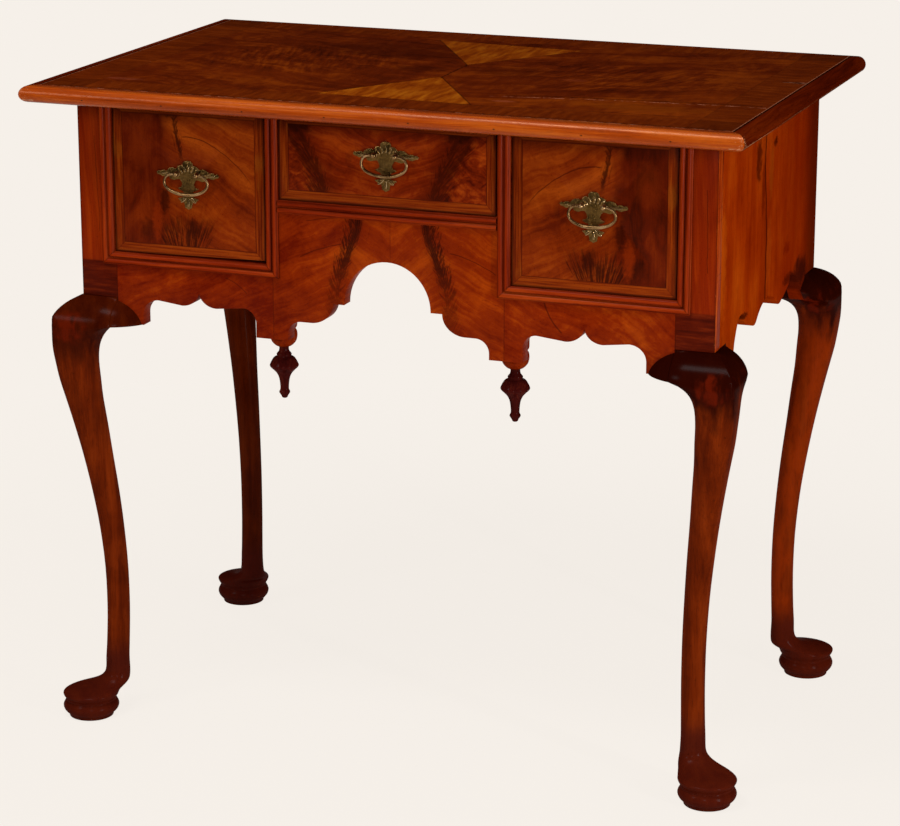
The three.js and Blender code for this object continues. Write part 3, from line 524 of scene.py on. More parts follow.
def swept(finish, bend, slope, seed):
    """Tone and fine lines of a figure whose streaks fall away from a line."""
    x, _, z = finish.axes
    warp = finish.figure(x * 0.012, z * 0.012, seed, roughness=0.5)
    fallen = z + bend * slope + (warp - 0.5) * 46
    bands = finish.figure(fallen * 0.034, bend * 0.006, seed + 4, roughness=0.5)
    streaks = finish.figure(fallen * 0.19, bend * 0.012, seed + 9, roughness=0.6)
    lines = finish.figure(fallen * 0.9, bend * 0.04, seed + 2, detail=2, roughness=0.6)
    patches = finish.figure(x * 0.02, z * 0.02, seed + 5, distortion=0.6)
    mottle = finish.figure(x * 0.1, z * 0.1, seed + 6, distortion=1.2)
    tone = bands * 0.34 + streaks * 0.2 + patches * 0.24 + mottle * 0.13 + lines * 0.09
    return tone, lines


def plume(finish, away, seed, width=5.0, reach=20.0):
    """How dark the marks of a plume are: strands along its line, barbs that rise from it."""
    _, _, z = finish.axes
    bend = abs(away)
    swell = finish.figure(z * 0.06, seed, 1, detail=2)
    strands = finish.figure(away * 0.42, z * 0.022, seed + 6, detail=4, roughness=0.65)
    core = 1 - bend / ((0.3 + swell * 1.5) * width)
    dark = (core.most(-1) * 0.6 + (strands - 0.5) * 3.4).ramp(0.05, 0.8)
    place = bend * 0.46 - z * 0.27, bend * 0.03 + z * 0.05, seed + 7
    barb = finish.figure(*place, roughness=0.65)
    outward = away.ramp(-reach * 0.6, 0) * away.fade(reach * 0.3, reach)
    barbs = (outward * 0.8 + (barb - 0.5) * 3.6).ramp(0.35, 0.95) * outward.ramp(0, 0.3)
    return dark.most(barbs * 0.9)


print("seam colour in linear light:", [round(v, 4) for v in from_display(*SEAM)[:3]])

# %% [markdown]
# Each drawer front is a figured field in a straight border, called a crossband. On the side
# drawers, half of the field is dark with upright grain, and the other half is light. A tuft like
# grass stands at the bottom where the branch began. The top of each front is painted darker as the
# shadow of the overhanging top, and its edges are painted darker as shade by the gaps.

# %% Drawer fronts' finish
BAND_WIDTH = 12
FIELD_SPOTS = [
    ((-30, 632), (6, 17), 0.75, (40, 6, 0)),
    ((-40, 606), (7, 24), 0.4, (140, 42, 2)),
    ((6, 602), (8, 13), 0.7, (44, 7, 0)),
    ((-52, 596), (9, 14), 0.5, (44, 7, 0)),
    ((-60, 690), (16, 26), 0.4, (110, 34, 3)),
]


def border_marks(finish, low_x, high_x, low_z, high_z):
    """Distance from the nearest edge, whether that edge is upright, the field, and the lines."""
    x, _, z = finish.axes
    beside = (x - low_x).least(high_x - x)
    over = (z - low_z).least(high_z - z)
    edge = beside.least(over)
    inside = edge.above(BAND_WIDTH)
    line = abs(edge - BAND_WIDTH).fade(0.25, 0.8)
    mitre = abs(beside - over).fade(0.3, 0.8) * (1 - inside)
    return edge, over.above(beside), inside, line.most(mitre * 0.7)


def centre_field(finish):
    x, _, z = finish.axes
    along = abs(x + 10)
    away = along - z.ramp(655, 735, 66, 97)
    tone, lines = swept(finish, abs(away), 0.5, 5.5)
    burl = finish.figure(x * 0.05, z * 0.06, 8, detail=4, distortion=1.6)
    tone = tone + (burl - 0.5) * away.ramp(2, 14) * 0.5 + away.ramp(-60, 0, 0.02, -0.03)
    field = finish.shades(tone, (70, 11, 0), (112, 30, 2), (152, 58, 8), spread=0.12)
    marks = plume(finish, away, 2.4, width=9.0, reach=26.0) * 0.8
    top = smudge(finish, along, z, (97, 732), (20, 14), seed=3.0)
    field = finish.mix(abs(away).fade(4, 30, 0.5), field, (66, 11, 0))
    return finish.mix(marks.most(top) * 0.88, field, PLUME), lines


def tuft_over(finish, field, along, up, book):
    """Blades that spread like grass from the field's foot, and the light between them."""
    angle = up.maths("ARCTAN2", along + 6, up)
    far = (up * up + (along + 6) * (along + 6)) ** 0.5
    tuft = finish.figure(angle * 24.0, far * 0.03, 5.0 + book, detail=4, roughness=0.7)
    body = abs(angle).fade(0.42, 0.66) * (far + (tuft - 0.5) * 100).fade(62, 112)
    blades = (body * 0.8 + (tuft - 0.5) * 4.4).ramp(0.4, 1.1) * body.ramp(0, 0.3)
    flames = (body * 0.8 + (0.5 - tuft) * 4.4).ramp(1.0, 1.8) * body.ramp(0, 0.3)
    field = finish.mix(body * 0.5, field, (78, 14, 0))
    field = finish.mix(blades * 0.8, field, PLUME)
    return finish.mix(flames * 0.35, field, (132, 36, 1))


def side_field(finish, middle, low_z, book):
    x, _, z = finish.axes
    along = (x - middle) * book
    tone, lines = swept(finish, along + 30, 0.52, 2.2)
    light = finish.shades(tone + 0.01, (84, 20, 1), (118, 38, 3), (150, 62, 9), spread=0.12)
    streaks, upright_lines, _ = grain(finish, x, z, 0.0, 15.0)
    cloud = finish.figure(x * 0.045, z * 0.022, 7, detail=4, distortion=1.0)
    tone = streaks * 0.25 + upright_lines * 0.15 + cloud * 0.6 + 0.06 * book
    dark = finish.shades(tone, (48, 8, 0), (86, 20, 1), (114, 36, 3), spread=0.19)
    edge = finish.figure(z * 0.03, along * 0.02, 6)
    half = (along + (edge - 0.5) * 40).ramp(-34, -14)
    line = z.ramp(675, 725, -9, -17)
    marks = plume(finish, along - line, 6.1, width=4.0, reach=7.0) * z.ramp(672, 690)
    top = smudge(finish, along, z, (-24, 735), (17, 9), seed=1.0)
    field = finish.mix(marks.most(top) * 0.82, finish.mix(half, dark, light), PLUME)
    field = tuft_over(finish, field, along, z - (low_z - 34), book)
    field = spotted(finish, field, along, z, FIELD_SPOTS, seed=book)
    arc = 706 - (along + 3) * (along + 3) * 0.0075
    wobble = finish.figure(along * 0.04, 2, 3)
    near = abs(z - arc + (wobble - 0.5) * 7).fade(0.3, 1.0)
    near = near * along.ramp(-9, -5) * along.fade(68, 80)
    return finish.mix(near * 0.7, field, SEAM), lines


def drawer_finish(drawer, low, high, book):
    """The veneer of one drawer. The book is 1 or -1 for the side drawers, and 0 for the centre."""
    finish = Finish(f"{drawer}_drawer_veneer")
    x, _, z = finish.axes
    if book:
        field, lines = side_field(finish, (low.x + high.x) / 2, low.z, book)
    else:
        field, lines = centre_field(finish)
    edge, upright, inside, line = border_marks(finish, low.x, high.x, low.z, high.z)
    flat = finish.figure(x * 0.014, z * 0.45, 3, roughness=0.6) + 0.08
    tall = finish.figure(x * 0.45, z * 0.014, 3, roughness=0.6)
    tone = upright * tall + (1 - upright) * flat
    band = finish.shades(tone, (82, 21, 1), (110, 34, 2), (136, 54, 6))
    rubbed = finish.figure(x * 0.05, z * 0.02, 9).ramp(0.56, 0.72)
    band = finish.mix(rubbed * upright * 0.4, band, (134, 68, 12))
    whole = finish.mix(inside, band, field)
    whole = finish.mix(line * 0.6, whole, SEAM)
    # Painted shadow under the overhanging top
    whole = finish.mix(z.ramp(712, 742, 0.0, 0.72), whole, (36, 6, 1))
    # Painted shade along the edges, by the gaps round the drawer
    whole = finish.mix(edge.fade(0.5, 3.5, 0.8), whole, (34, 7, 1))
    pores = finish.figure(x * 0.7, z * 0.35, 3, roughness=0.6)
    return polished(finish, whole, lines, pores, gloss=0.34)


veneers = {}
for drawer, book in (("left", 1), ("centre", 0), ("right", -1)):
    low, high = (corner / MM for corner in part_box(f"{drawer}_drawer_front"))
    veneers[drawer] = drawer_finish(drawer, low, high, book)
print("drawer veneers:", ", ".join(m.name for m in veneers.values()))

# %% [markdown]
# The front board's veneer has five parts. A mirrored feather hangs over the arch, a plainer leaf
# lies under each deep drawer, and the corner posts are covered too, with a darker block at the
# bottom where the leg begins. Fine dark lines are cracks in the veneer. Its top is painted darker,
# as the shadow under the overhanging top.

# %% Front board's finish
LEAF_START = 137.5
POST_START = 332
FRONT_CRACKS = [
    ((182, 556), (204, 520), 1.3, -3),
    ((74, 598), (128, 578), 0.8, 3),
    ((-54, 598), (-104, 580), 0.8, -2),
    ((-96, 622), (-60, 628), 0.6, 0),
    ((-196, 548), (-170, 532), 0.7, 2),
    ((364, 690), (366, 600), 0.7, 0),
    ((-356, 700), (-352, 590), 0.5, 0),
]


def feather(finish):
    """The mirrored sheets over the arch."""
    x, _, z = finish.axes
    away = abs(x - 6) - z.ramp(535, 632, 66, 41)
    tone, lines = swept(finish, abs(away), 0.52, 3.7)
    tone = tone + away.ramp(-50, 10, 0.03, -0.005) + x.fade(-130, -40, -0.05)
    centre = finish.shades(tone, (90, 15, 0), (122, 34, 1), (156, 59, 4), spread=0.12)
    taper = z.ramp(545, 612, 0.4, 1.0)
    marks = plume(finish, away, 3.3, width=taper * 9.0) * z.ramp(525, 585, 0.35, 1.0)
    centre = finish.mix(abs(away).fade(3, 22, 0.3), centre, (84, 14, 0))
    return finish.mix(marks * 0.9, centre, PLUME), lines


def leaves(finish):
    """The plainer sheets under the deep drawers."""
    x, _, z = finish.axes
    tone, _ = swept(finish, 110 - (abs(x) - 229), -0.5, 12.3)
    curl = finish.figure(x * 0.035, z * 0.05, 20, distortion=2.0)
    tone = tone + (curl - 0.5) * 0.16 + x.ramp(-220, 200, -0.07, -0.03)
    return finish.shades(tone, (92, 15, 0), (122, 33, 1), (156, 60, 5), spread=0.12)


def posts(finish):
    """The sheets on the corner posts, with a dark block below."""
    x, y, z = finish.axes
    streaks, lines, _ = grain(finish, x + z * 0.1, z, y * 0.1, 17.0)
    tone = streaks * 0.65 + lines * 0.35 + x.fade(-300, 300, 0.07)
    colour = finish.shades(tone, (88, 16, 0), (116, 28, 1), (142, 46, 3), spread=0.24)
    stains = finish.figure(x * 0.03, z * 0.014, 31, detail=4, distortion=0.8)
    colour = finish.mix(stains.ramp(0.5, 0.68) * 0.45, colour, (92, 16, 0))
    foot = finish.figure(x * 0.02, z * 0.16, 4, detail=4, roughness=0.6)
    block = finish.shades(foot, (58, 9, 1), (76, 15, 2), (98, 27, 4))
    return finish.mix(z.fade(554, 557), colour, block)


def front_finish():
    finish = Finish("front_veneer")
    x, y, z = finish.axes
    aside = abs(x)
    whole, lines = feather(finish)
    whole = finish.mix(aside.above(LEAF_START), whole, leaves(finish))
    whole = finish.mix(aside.above(POST_START), whole, posts(finish))
    seams = abs(aside - LEAF_START).fade(0.2, 0.8, 0.7)
    seams = seams.most(abs(aside - POST_START).fade(0.3, 0.9))
    seams = seams.most(abs(x - 4).fade(0.2, 0.8, 0.5))
    seams = cracked(finish, x, z, seams, FRONT_CRACKS)
    whole = finish.mix(seams * 0.65, whole, SEAM)
    sideways = finish.facing("X")
    end_grain = finish.figure(y * 0.2, z * 0.012, 5, detail=4)
    end = finish.shades(end_grain, (108, 24, 0), (140, 42, 1), (172, 72, 8))
    whole = finish.mix(sideways.ramp(0.5, 0.9) * aside.above(370), whole, end)
    # Painted shadow under the overhanging top
    whole = finish.mix(z.ramp(716, 745, 0.0, 0.55), whole, (44, 7, 1))
    rim = CASE_HALF - aside + sideways * 3
    whole = finish.mix(rim.fade(0.6, 3.0, 0.5), whole, SEAM)
    flakes = finish.noise(finish.place, scale=0.3, detail=4, roughness=0.7)
    chipped = flakes.ramp(0.6, 0.68) * rim.fade(0.8, 2.6)
    whole = finish.mix(chipped * 0.5, whole, (176, 96, 50))
    fine = finish.figure(x * 0.6, z * 0.5, 8, roughness=0.6)
    return polished(finish, whole, lines, fine, gloss=0.34)


front_wood = front_finish()
print("veneer nodes on the front:", len(front_wood.node_tree.nodes))

# %% [markdown]
# The top is veneered too. Two dark sheets mirror each other about the middle, with two light
# pointed pieces let in at the front and the back, and a border runs round them with a square at
# each corner. Veneer over a solid ground cracks as the ground shrinks, so seams and cracks cross
# it, and wax has gathered in the long one.

# %% Veneer of the top
TOP_BORDER = 50
TOP_SPOTS = [
    ((270, -150), (80, 22), 0.5, (118, 50, 2)),
    ((330, -60), (60, 40), 0.35, (116, 42, 2)),
    ((-120, 110), (90, 60), 0.5, (50, 9, 0)),
    ((-40, 0), (34, 22), 0.55, (46, 7, 0)),
    ((60, 20), (50, 36), 0.35, (56, 12, 0)),
    ((-200, -90), (90, 40), 0.3, (104, 34, 2)),
    ((360, 235), (60, 26), 0.5, (44, 9, 0)),
    ((120, -165), (14, 6), 0.6, (134, 62, 34)),
    ((-330, -180), (26, 7), 0.5, (120, 52, 30)),
    ((150, -12), (16, 9), 0.4, (116, 46, 22)),
]
INLAYS = [
    (((-90, -190), (94, -197), (1, -42)), 1.0),
    (((94.5, 186.5), (-94.4, 204), (0.5, 44)), 0.8),
]
LONG_CRACK = [((95, -140), (398, -106), 2.2, 6)]
TOP_CRACKS = [
    ((3, -52), (0.5, 44), 1.3, 0),
    ((-385, -243), (392, -243), 1.0, 0),
    ((110, -128), (392, -98), 1.6, 5),
    ((60, -205), (330, -186), 0.8, 3),
    ((-250, 90), (-60, 60), 0.7, 4),
    ((120, 10), (300, 40), 0.7, -4),
    ((-340, -180), (-60, -172), 0.7, 2),
]


def triangle(finish, corners):
    """1 inside the triangle of three corners, and how close its edges are."""
    x, y, _ = finish.axes
    (from_x, from_y), (to_x, to_y), (apex_x, apex_y) = corners
    turn = (to_x - from_x) * (apex_y - from_y) - (to_y - from_y) * (apex_x - from_x)
    sides = []
    for (from_x, from_y), (to_x, to_y) in zip(corners, corners[1:] + corners[:1]):
        length = math.copysign(math.hypot(to_x - from_x, to_y - from_y), turn)
        run, rise = (to_x - from_x) / length, (to_y - from_y) / length
        sides.append((y - from_y) * run - (x - from_x) * rise)
    least = sides[0].least(sides[1]).least(sides[2])
    return least.above(0), abs(least).fade(0.3, 1.1)


def dark_sheets(finish, along):
    """Tone and lines of the dark sheets, which mirror each other about the middle."""
    x, y, _ = finish.axes
    warp = finish.figure(along * 0.006, y * 0.011, 3)
    fallen = y - along * 0.32 + (warp - 0.5) * 150
    bands = finish.figure(along * 0.003, fallen * 0.024, 6)
    streaks = finish.figure(along * 0.008, fallen * 0.12, 1, detail=4, roughness=0.62)
    lines = finish.figure(along * 0.03, fallen * 0.7, 5, detail=2, roughness=0.6)
    curl = finish.figure(along * 0.045, y * 0.018, 9, distortion=1.2)
    cloud = finish.figure(x * 0.009, y * 0.009, 12)
    tone = bands * 0.28 + streaks * 0.22 + lines * 0.1 + curl * 0.18 + cloud * 0.22
    ripple = finish.figure(along * 0.16 - y * 0.05, y * 0.02 + along * 0.01, 21, detail=2)
    curly = smudge(finish, along, y, (190, 20), (120, 110), seed=6.0)
    return tone + (ripple - 0.5) * curly * 0.3 + x.ramp(0, 360, 0.0, 0.03), lines


def top_finish():
    finish = Finish("top_veneer")
    x, y, _ = finish.axes
    along = abs(x)
    tone, lines = dark_sheets(finish, along)
    field = finish.shades(tone, (50, 9, 0), (86, 25, 1), (124, 50, 3), spread=0.125)
    field = spotted(finish, field, x, y, TOP_SPOTS)
    beside = TOP_HALF_WIDTH - EDGE_WIDTH - along
    before = y + TOP_HALF_DEPTH - EDGE_WIDTH
    ends = before.least(TOP_HALF_DEPTH - y)
    edge, upright = beside.least(ends), ends.above(beside)
    flat = finish.figure(x * 0.15, y * 0.02, 7, detail=4, roughness=0.6)
    tall = finish.figure(x * 0.02, y * 0.15, 7, detail=4, roughness=0.6)
    band_tone = (upright * tall + (1 - upright) * flat) * 0.5 + tone * 0.5
    band = finish.shades(band_tone, (62, 15, 0), (90, 29, 1), (114, 45, 4))
    square = (TOP_BORDER + 2 - beside).above(0) * (TOP_BORDER + 2 - ends).above(0)
    band = finish.mix(square * 0.4, band, (50, 11, 0))
    whole = finish.mix(edge.above(TOP_BORDER), band, field)
    layer = along * 0.08, y * 0.016, 4
    ochre = finish.figure(*layer, detail=4, roughness=0.6, distortion=0.4)
    ochre = finish.shades(ochre, (100, 34, 0), (128, 56, 2), (152, 80, 9))
    seams = abs(edge - TOP_BORDER).fade(0.3, 1.0, 0.35)
    for corners, share in INLAYS:
        inlay, rim = triangle(finish, corners)
        whole = finish.mix(inlay * share, whole, ochre)
        seams = seams.most(rim * 0.8)
    scratch = cracked(finish, x, y, 0, LONG_CRACK, shake=10)
    seams = cracked(finish, x, y, seams, TOP_CRACKS, shake=8)
    chipped_edge = smudge(finish, x, y, (392, 60), (22, 5), seed=2.0) * 0.9
    joint = before.fade(0.8, 2.6).most(chipped_edge)
    whole = finish.mix(seams.most(joint) * 0.9, whole, BLACKENED)
    dust = finish.figure(x * 0.09, y * 0.3, 2, detail=4, roughness=0.7)
    waxed = scratch.most(joint * 0.8) * dust.ramp(0.48, 0.58)
    waxed = waxed.most(beside.fade(0.9, 1.9) * dust.ramp(0.4, 0.5) * 0.8)
    whole = finish.mix(waxed * 0.75, whole, (176, 112, 84))
    pores = finish.figure(x * 0.12, y * 1.1, 2, detail=2, roughness=0.6)
    return polished(finish, whole, lines - seams * 2, pores, gloss=0.34, ripple=0.4)


top_wood = top_finish()
print("nodes on the top:", len(top_wood.node_tree.nodes))

# %% [markdown]
# Pine and brass. The pine inside was never polished: it is pale, with soft rings, and it has gone
# brown and grey where hands and dust reached it. The brass was cast, filed and lacquered, and has
# gone a dull olive brown. It stays bright only where hands rub it. The plates have a shell above
# the middle. Its ribs are modelled with the plate, and the finish darkens the hollows between them
# and adds the finest chasing, which is too shallow to model. The rim of each plate is painted a
# pale brass, partly as rubbed metal and partly as a painted highlight.

# %% Pine and brass
DULL_BRASS = (104, 76, 36), (130, 97, 50), (156, 118, 66)
RUBBED_BRASS = (112, 82, 48), (144, 110, 70), (182, 148, 104)


def bare_pine(name, across, along, depth, seed):
    """Pine whose grain runs along one of the axes, which are numbered from 0."""
    finish = Finish(name)
    across, along, depth = (finish.axes[i] for i in (across, along, depth))
    streaks, lines, pores = grain(finish, across + depth * 0.5, along, depth, seed)
    stain = finish.noise(finish.place, scale=0.012, detail=4, roughness=0.6)
    tone = streaks * 0.6 + lines * 0.4
    colour = finish.shades(tone, (148, 96, 48), (192, 140, 82), (212, 168, 112))
    colour = finish.mix(stain.ramp(0.45, 0.72) * 0.5, colour, (116, 70, 36))
    normal = finish.bump(lines * 0.5 - pores.ramp(0.6, 0.75) * 0.3, 0.5, 0.5)
    roughness = 0.62 + (stain - 0.5) * 0.3
    return finish.done(Base_Color=colour, Roughness=roughness, Normal=normal)


def old_brass(name, middle=None):
    """Dull brass. With the middle of a plate, it has the plate's chasing and dark hollows too."""
    finish = Finish(name)
    x, _, z = finish.axes
    cloud = finish.noise(finish.place, scale=0.09, roughness=0.5)
    speck = finish.noise(finish.place, scale=0.7, roughness=0.6)
    shades = DULL_BRASS if middle else RUBBED_BRASS
    colour = finish.shades(cloud * 0.6 + speck * 0.4, *shades)
    height = cloud * 0.5 + speck * 0.2
    roughness = 0.32 + (cloud - 0.5) * 0.3 + (speck - 0.5) * 0.15
    if middle:
        aside, up = x - middle[0], z - middle[1]
        angle = up.maths("ARCTAN2", aside, up + 8)
        far = (aside * aside + (up + 8) * (up + 8)) ** 0.5
        ribs = angle.maths("COSINE", angle * 18) * 0.5 + 0.5
        shell = far.ramp(11, 13) * far.fade(19, 22) * abs(angle).fade(0.7, 0.9)
        fronds = finish.figure(aside * 0.5, up * 0.35, 3, detail=2, distortion=1.0)
        chased = ribs * shell + fronds.ramp(0.4, 0.6) * (1 - shell) * 0.5
        height = height + chased * 0.8
        colour = finish.mix((1 - chased) * 0.45, colour, (56, 40, 17))
        # Painted highlight on the rim, which is partly rubbed brass too
        rim = finish.facing("Y").fade(0.7, 0.98)
        colour = finish.mix(rim * 0.85, colour, (226, 200, 158))
        roughness = roughness - rim * 0.1
    normal = finish.bump(height, 0.6, 0.5)
    return finish.done(Base_Color=colour, Roughness=roughness, Normal=normal, Metallic=1.0)


pine_across = bare_pine("pine_across", 2, 0, 1, 2.0)
pine_deep = bare_pine("pine_deep", 2, 1, 0, 6.0)
brass = old_brass("old_brass")
print("metal:", brass.name)

# %% [markdown]
# New pieces are modelled in millimetres with bmesh. One function closes each of them: it scales the
# mesh to metres, makes an object at the origin, shades its curves smooth and its corners sharp, and
# says which body it rides on and which CAD piece it stands for.

# %% From a mesh to a finished piece
SOFT_ANGLE = math.radians(25)
CORNER_ANGLE = math.radians(60)
CORNERS_OF_A_SMALL_FACE = 4


def linked(work, name, material):
    """Turns a bmesh into an object at the origin."""
    mesh = bpy.data.meshes.new(name)
    work.to_mesh(mesh)
    work.free()
    mesh.materials.append(material)
    made = bpy.data.objects.new(name, mesh)
    bpy.context.scene.collection.objects.link(made)
    return made


def finished(work, node, material, body="case", ending="wood", sharp=SOFT_ANGLE):
    """Closes the piece that stands for a CAD node."""
    bmesh.ops.scale(work, vec=(MM, MM, MM), verts=work.verts)
    piece = linked(work, f"{node}_{ending}", material)
    piece.data.shade_smooth()
    piece.data.set_sharp_from_angle(angle=sharp)
    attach(piece, body)
    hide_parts(node)


def moved(work, step, verts=None):
    bmesh.ops.translate(work, vec=step, verts=verts or work.verts)


def bevelled(work, edges, width):
    bmesh.ops.bevel(
        work,
        geom=edges,
        offset=width,
        segments=2,
        profile=0.5,
        material=-1,
        affect="EDGES",
        clamp_overlap=True,
    )


def many_sided(faces):
    return [face for face in faces if len(face.verts) > CORNERS_OF_A_SMALL_FACE]


def eased(node, material, slot, width=0.5, chosen=None, body="case", wear=None):
    """A copy of a straight CAD piece with its corners eased, as sandpaper leaves them."""
    work = bmesh.new()
    work.from_mesh(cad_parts[node].data)
    bmesh.ops.scale(work, vec=(1 / MM, 1 / MM, 1 / MM), verts=work.verts)
    bmesh.ops.remove_doubles(work, verts=work.verts, dist=0.01)
    flat = {"angle_limit": math.radians(0.5), "verts": work.verts, "edges": work.edges}
    bmesh.ops.dissolve_limit(work, **flat)
    if width:
        corners = [
            edge
            for edge in work.edges
            if len(edge.link_faces) == 2
            and edge.calc_face_angle(0) > CORNER_ANGLE
            and edge.is_convex
            and (chosen is None or chosen(edge))
        ]
        bevelled(work, corners, width)
    if wear:
        wear(work.verts)
    bmesh.ops.triangulate(work, faces=many_sided(work.faces))
    finished(work, node, material, body)


def quarter(points, x, z, leaves_upright, steps=14):
    """Adds a quarter of an ellipse to an outline, from its last point to a new one."""
    from_x, from_z = points[-1]
    for i in range(1, steps + 1):
        near, far = math.cos(i / steps * math.pi / 2), math.sin(i / steps * math.pi / 2)
        if leaves_upright:
            points.append((x + (from_x - x) * near, from_z + (z - from_z) * far))
        else:
            points.append((from_x + (x - from_x) * far, z + (from_z - z) * near))


def between(before, start, end, after, t):
    """A number on the smooth curve from start to end that heeds the numbers beyond them."""
    bend = 2 * before - 5 * start + 4 * end - after
    twist = 3 * start - before - 3 * end + after
    return 0.5 * (2 * start + (end - before) * t + bend * t * t + twist * t**3)


def smoothed(rows, steps):
    """More rows between the given ones, on a smooth line through all of them."""
    padded = [rows[0], *rows, rows[-1]]
    made = []
    for four in zip(padded, padded[1:], padded[2:], padded[3:]):
        for step in range(steps):
            made.append(tuple(between(*numbers, step / steps) for numbers in zip(*four)))
    return made + [tuple(rows[-1])]


def with_mirror(half):
    """An outline from its right half, which starts on the middle line."""
    return half + [(-x, z) for x, z in reversed(half[1:])]


def sawn(outline, low, high, axis, ease=0.5):
    """A board cut to an outline, with its face edges eased. The axis is its thickness."""

    def at(across, depth, up):
        return (across, depth, up) if axis == "y" else (depth, across, up)

    work = bmesh.new()
    face = work.faces.new([work.verts.new(at(across, low, up)) for across, up in outline])
    made = bmesh.ops.extrude_face_region(work, geom=[face])["geom"]
    moved(work, at(0, high - low, 0), [v for v in made if isinstance(v, bmesh.types.BMVert)])
    bmesh.ops.recalc_face_normals(work, faces=work.faces)
    rim = [
        edge
        for edge in work.edges
        if edge.calc_face_angle(0) > CORNER_ANGLE and len(many_sided(edge.link_faces)) == 1
    ]
    bevelled(work, rim, ease)
    bmesh.ops.triangulate(work, faces=many_sided(work.faces))
    return work


def mirrored(work, x_sign, y_sign):
    """Mirrors a mesh about the middle planes and turns its faces the right way out again."""
    bmesh.ops.scale(work, vec=(x_sign, y_sign, 1), verts=work.verts)
    if x_sign * y_sign < 0:
        bmesh.ops.reverse_faces(work, faces=work.faces)
    return work


print("corners sharper than", round(math.degrees(SOFT_ANGLE)), "degrees stay sharp")

# %% [markdown]
# The front is one board, sawn to its outline: an arch in the middle, a block over each turned drop,
# and two lobes that meet in a cusp under each deep drawer. The arcs are quarters of ellipses, drawn
# with twice the steps of the CAD model, so that no corner shows on the curves.

# %% Front board
ARCH_HALF = 51.5
ARCH_TOP = 582
STEP_HEIGHT = 529
STEP_WIDTH = 13.5
LOBE_FLOOR = 505
LOBE_FLAT = 12
HOLLOW = 16
DROP_OFFSET = 139.5
BLOCK_HALF = 19.5
BLOCK_FLOOR = 482
WAVE_FLOOR = 511
WAVE_CREST = 514.5
LOBE_RUN = 21.5
CUSP_HEIGHT = 529
BRACKET_RUN = 20
BRACKET_RISE = 18


def over_leg(half, with_tip=True):
    """The end of a board's lower edge, which passes over the leg at a half width."""
    leg_side = half - LEG_WIDTH - GAP
    tip = [(half - LEG_WIDTH - BRACKET_TIP, KNEE_HEIGHT)] if with_tip else []
    return tip + [(leg_side, KNEE_HEIGHT), (leg_side, CORNER_HEIGHT), (half, CORNER_HEIGHT)]


def front_outline():
    block_left, block_right = DROP_OFFSET - BLOCK_HALF, DROP_OFFSET + BLOCK_HALF
    bracket = CASE_HALF - LEG_WIDTH - BRACKET_TIP
    cusp = (block_right + bracket) / 2
    half = [(0, ARCH_TOP)]
    quarter(half, ARCH_HALF, STEP_HEIGHT, False)
    half.append((ARCH_HALF + STEP_WIDTH, STEP_HEIGHT))
    quarter(half, block_left - HOLLOW - LOBE_FLAT, LOBE_FLOOR, True)
    half.append((block_left - HOLLOW, LOBE_FLOOR))
    quarter(half, block_left, LOBE_FLOOR - HOLLOW, False)
    half += [(block_left, BLOCK_FLOOR), (block_right, BLOCK_FLOOR)]
    half.append((block_right, WAVE_CREST - HOLLOW))
    quarter(half, block_right + HOLLOW, WAVE_CREST, True)
    half.append((cusp - LOBE_RUN, WAVE_FLOOR))
    quarter(half, cusp, CUSP_HEIGHT, False)
    quarter(half, cusp + LOBE_RUN, WAVE_FLOOR, True)
    half.append((bracket - BRACKET_RUN, WAVE_CREST))
    quarter(half, bracket, WAVE_CREST - BRACKET_RISE, False)
    half += over_leg(CASE_HALF)
    half += [(CASE_HALF, CASE_TOP), (OPENING_OUTER, CASE_TOP), (OPENING_OUTER, SIDE_FLOOR)]
    half += [(DIVIDER_OUTER, SIDE_FLOOR), (DIVIDER_OUTER, CASE_TOP)]
    return with_mirror(half + [(CENTRE_HALF, CASE_TOP), (CENTRE_HALF, CENTRE_FLOOR)])


front = sawn(front_outline(), FRONT_Y, FRONT_Y + BOARD, "y")
finished(front, "front_board", front_wood)
print("points on the front's outline:", len(front_outline()))

# %% [markdown]
# The sides are sawn in the same way, with a shallow cyma between the legs. The points of that edge
# are shares of the bracket's distance and of the corner's height, and a smooth line runs through
# them. The front half ends in a flat bracket, and the rear half in an arch that runs down to the
# leg.

# %% Side boards
SIDE_EDGE_SHARES = [
    (0, 1.028), (0.087, 1.021), (0.16, 1.016), (0.215, 1.01), (0.268, 1.002), (0.308, 0.994),
    (0.348, 0.987), (0.391, 0.985), (0.435, 0.987), (0.507, 0.993), (0.58, 0.999),
    (0.652, 1.007), (0.703, 1.014), (0.717, 1.024), (0.746, 1.031), (0.79, 1.034),
    (0.848, 1.031), (0.906, 1.018), (0.957, 0.996), (0.986, 0.979), (1, 0.961),
]  # fmt: skip
REAR_END_SHARES = [(0.862, 1.027), (0.971, 1.01), (1.058, 0.988), (1.138, 0.967), (1.188, 0.953)]


def side_outline():
    middle, half_depth = (FRONT_Y + BACK_Y) / 2, (BACK_Y - FRONT_Y) / 2
    bracket = half_depth - LEG_WIDTH - BRACKET_TIP
    front_half, rear_half = (
        [(share * bracket, rise * CORNER_HEIGHT) for share, rise in smoothed(shares, 3)]
        for shares in (SIDE_EDGE_SHARES, SIDE_EDGE_SHARES[:16] + REAR_END_SHARES)
    )
    rear_half += over_leg(half_depth, with_tip=False)
    front_end = half_depth - BOARD - GAP
    front_half += over_leg(half_depth)[:-1] + [(front_end, CORNER_HEIGHT)]
    outline = [(-y, z) for y, z in reversed(front_half[1:])] + rear_half
    outline += [(half_depth, CASE_TOP), (-front_end, CASE_TOP)]
    return [(y + middle, z) for y, z in outline]


for side, sign in SIDES:
    board = mirrored(sawn(side_outline(), CASE_HALF - BOARD, CASE_HALF, "x"), sign, 1)
    finished(board, f"side_board_{side}", side_wood)
print("points on a side's outline:", len(side_outline()))

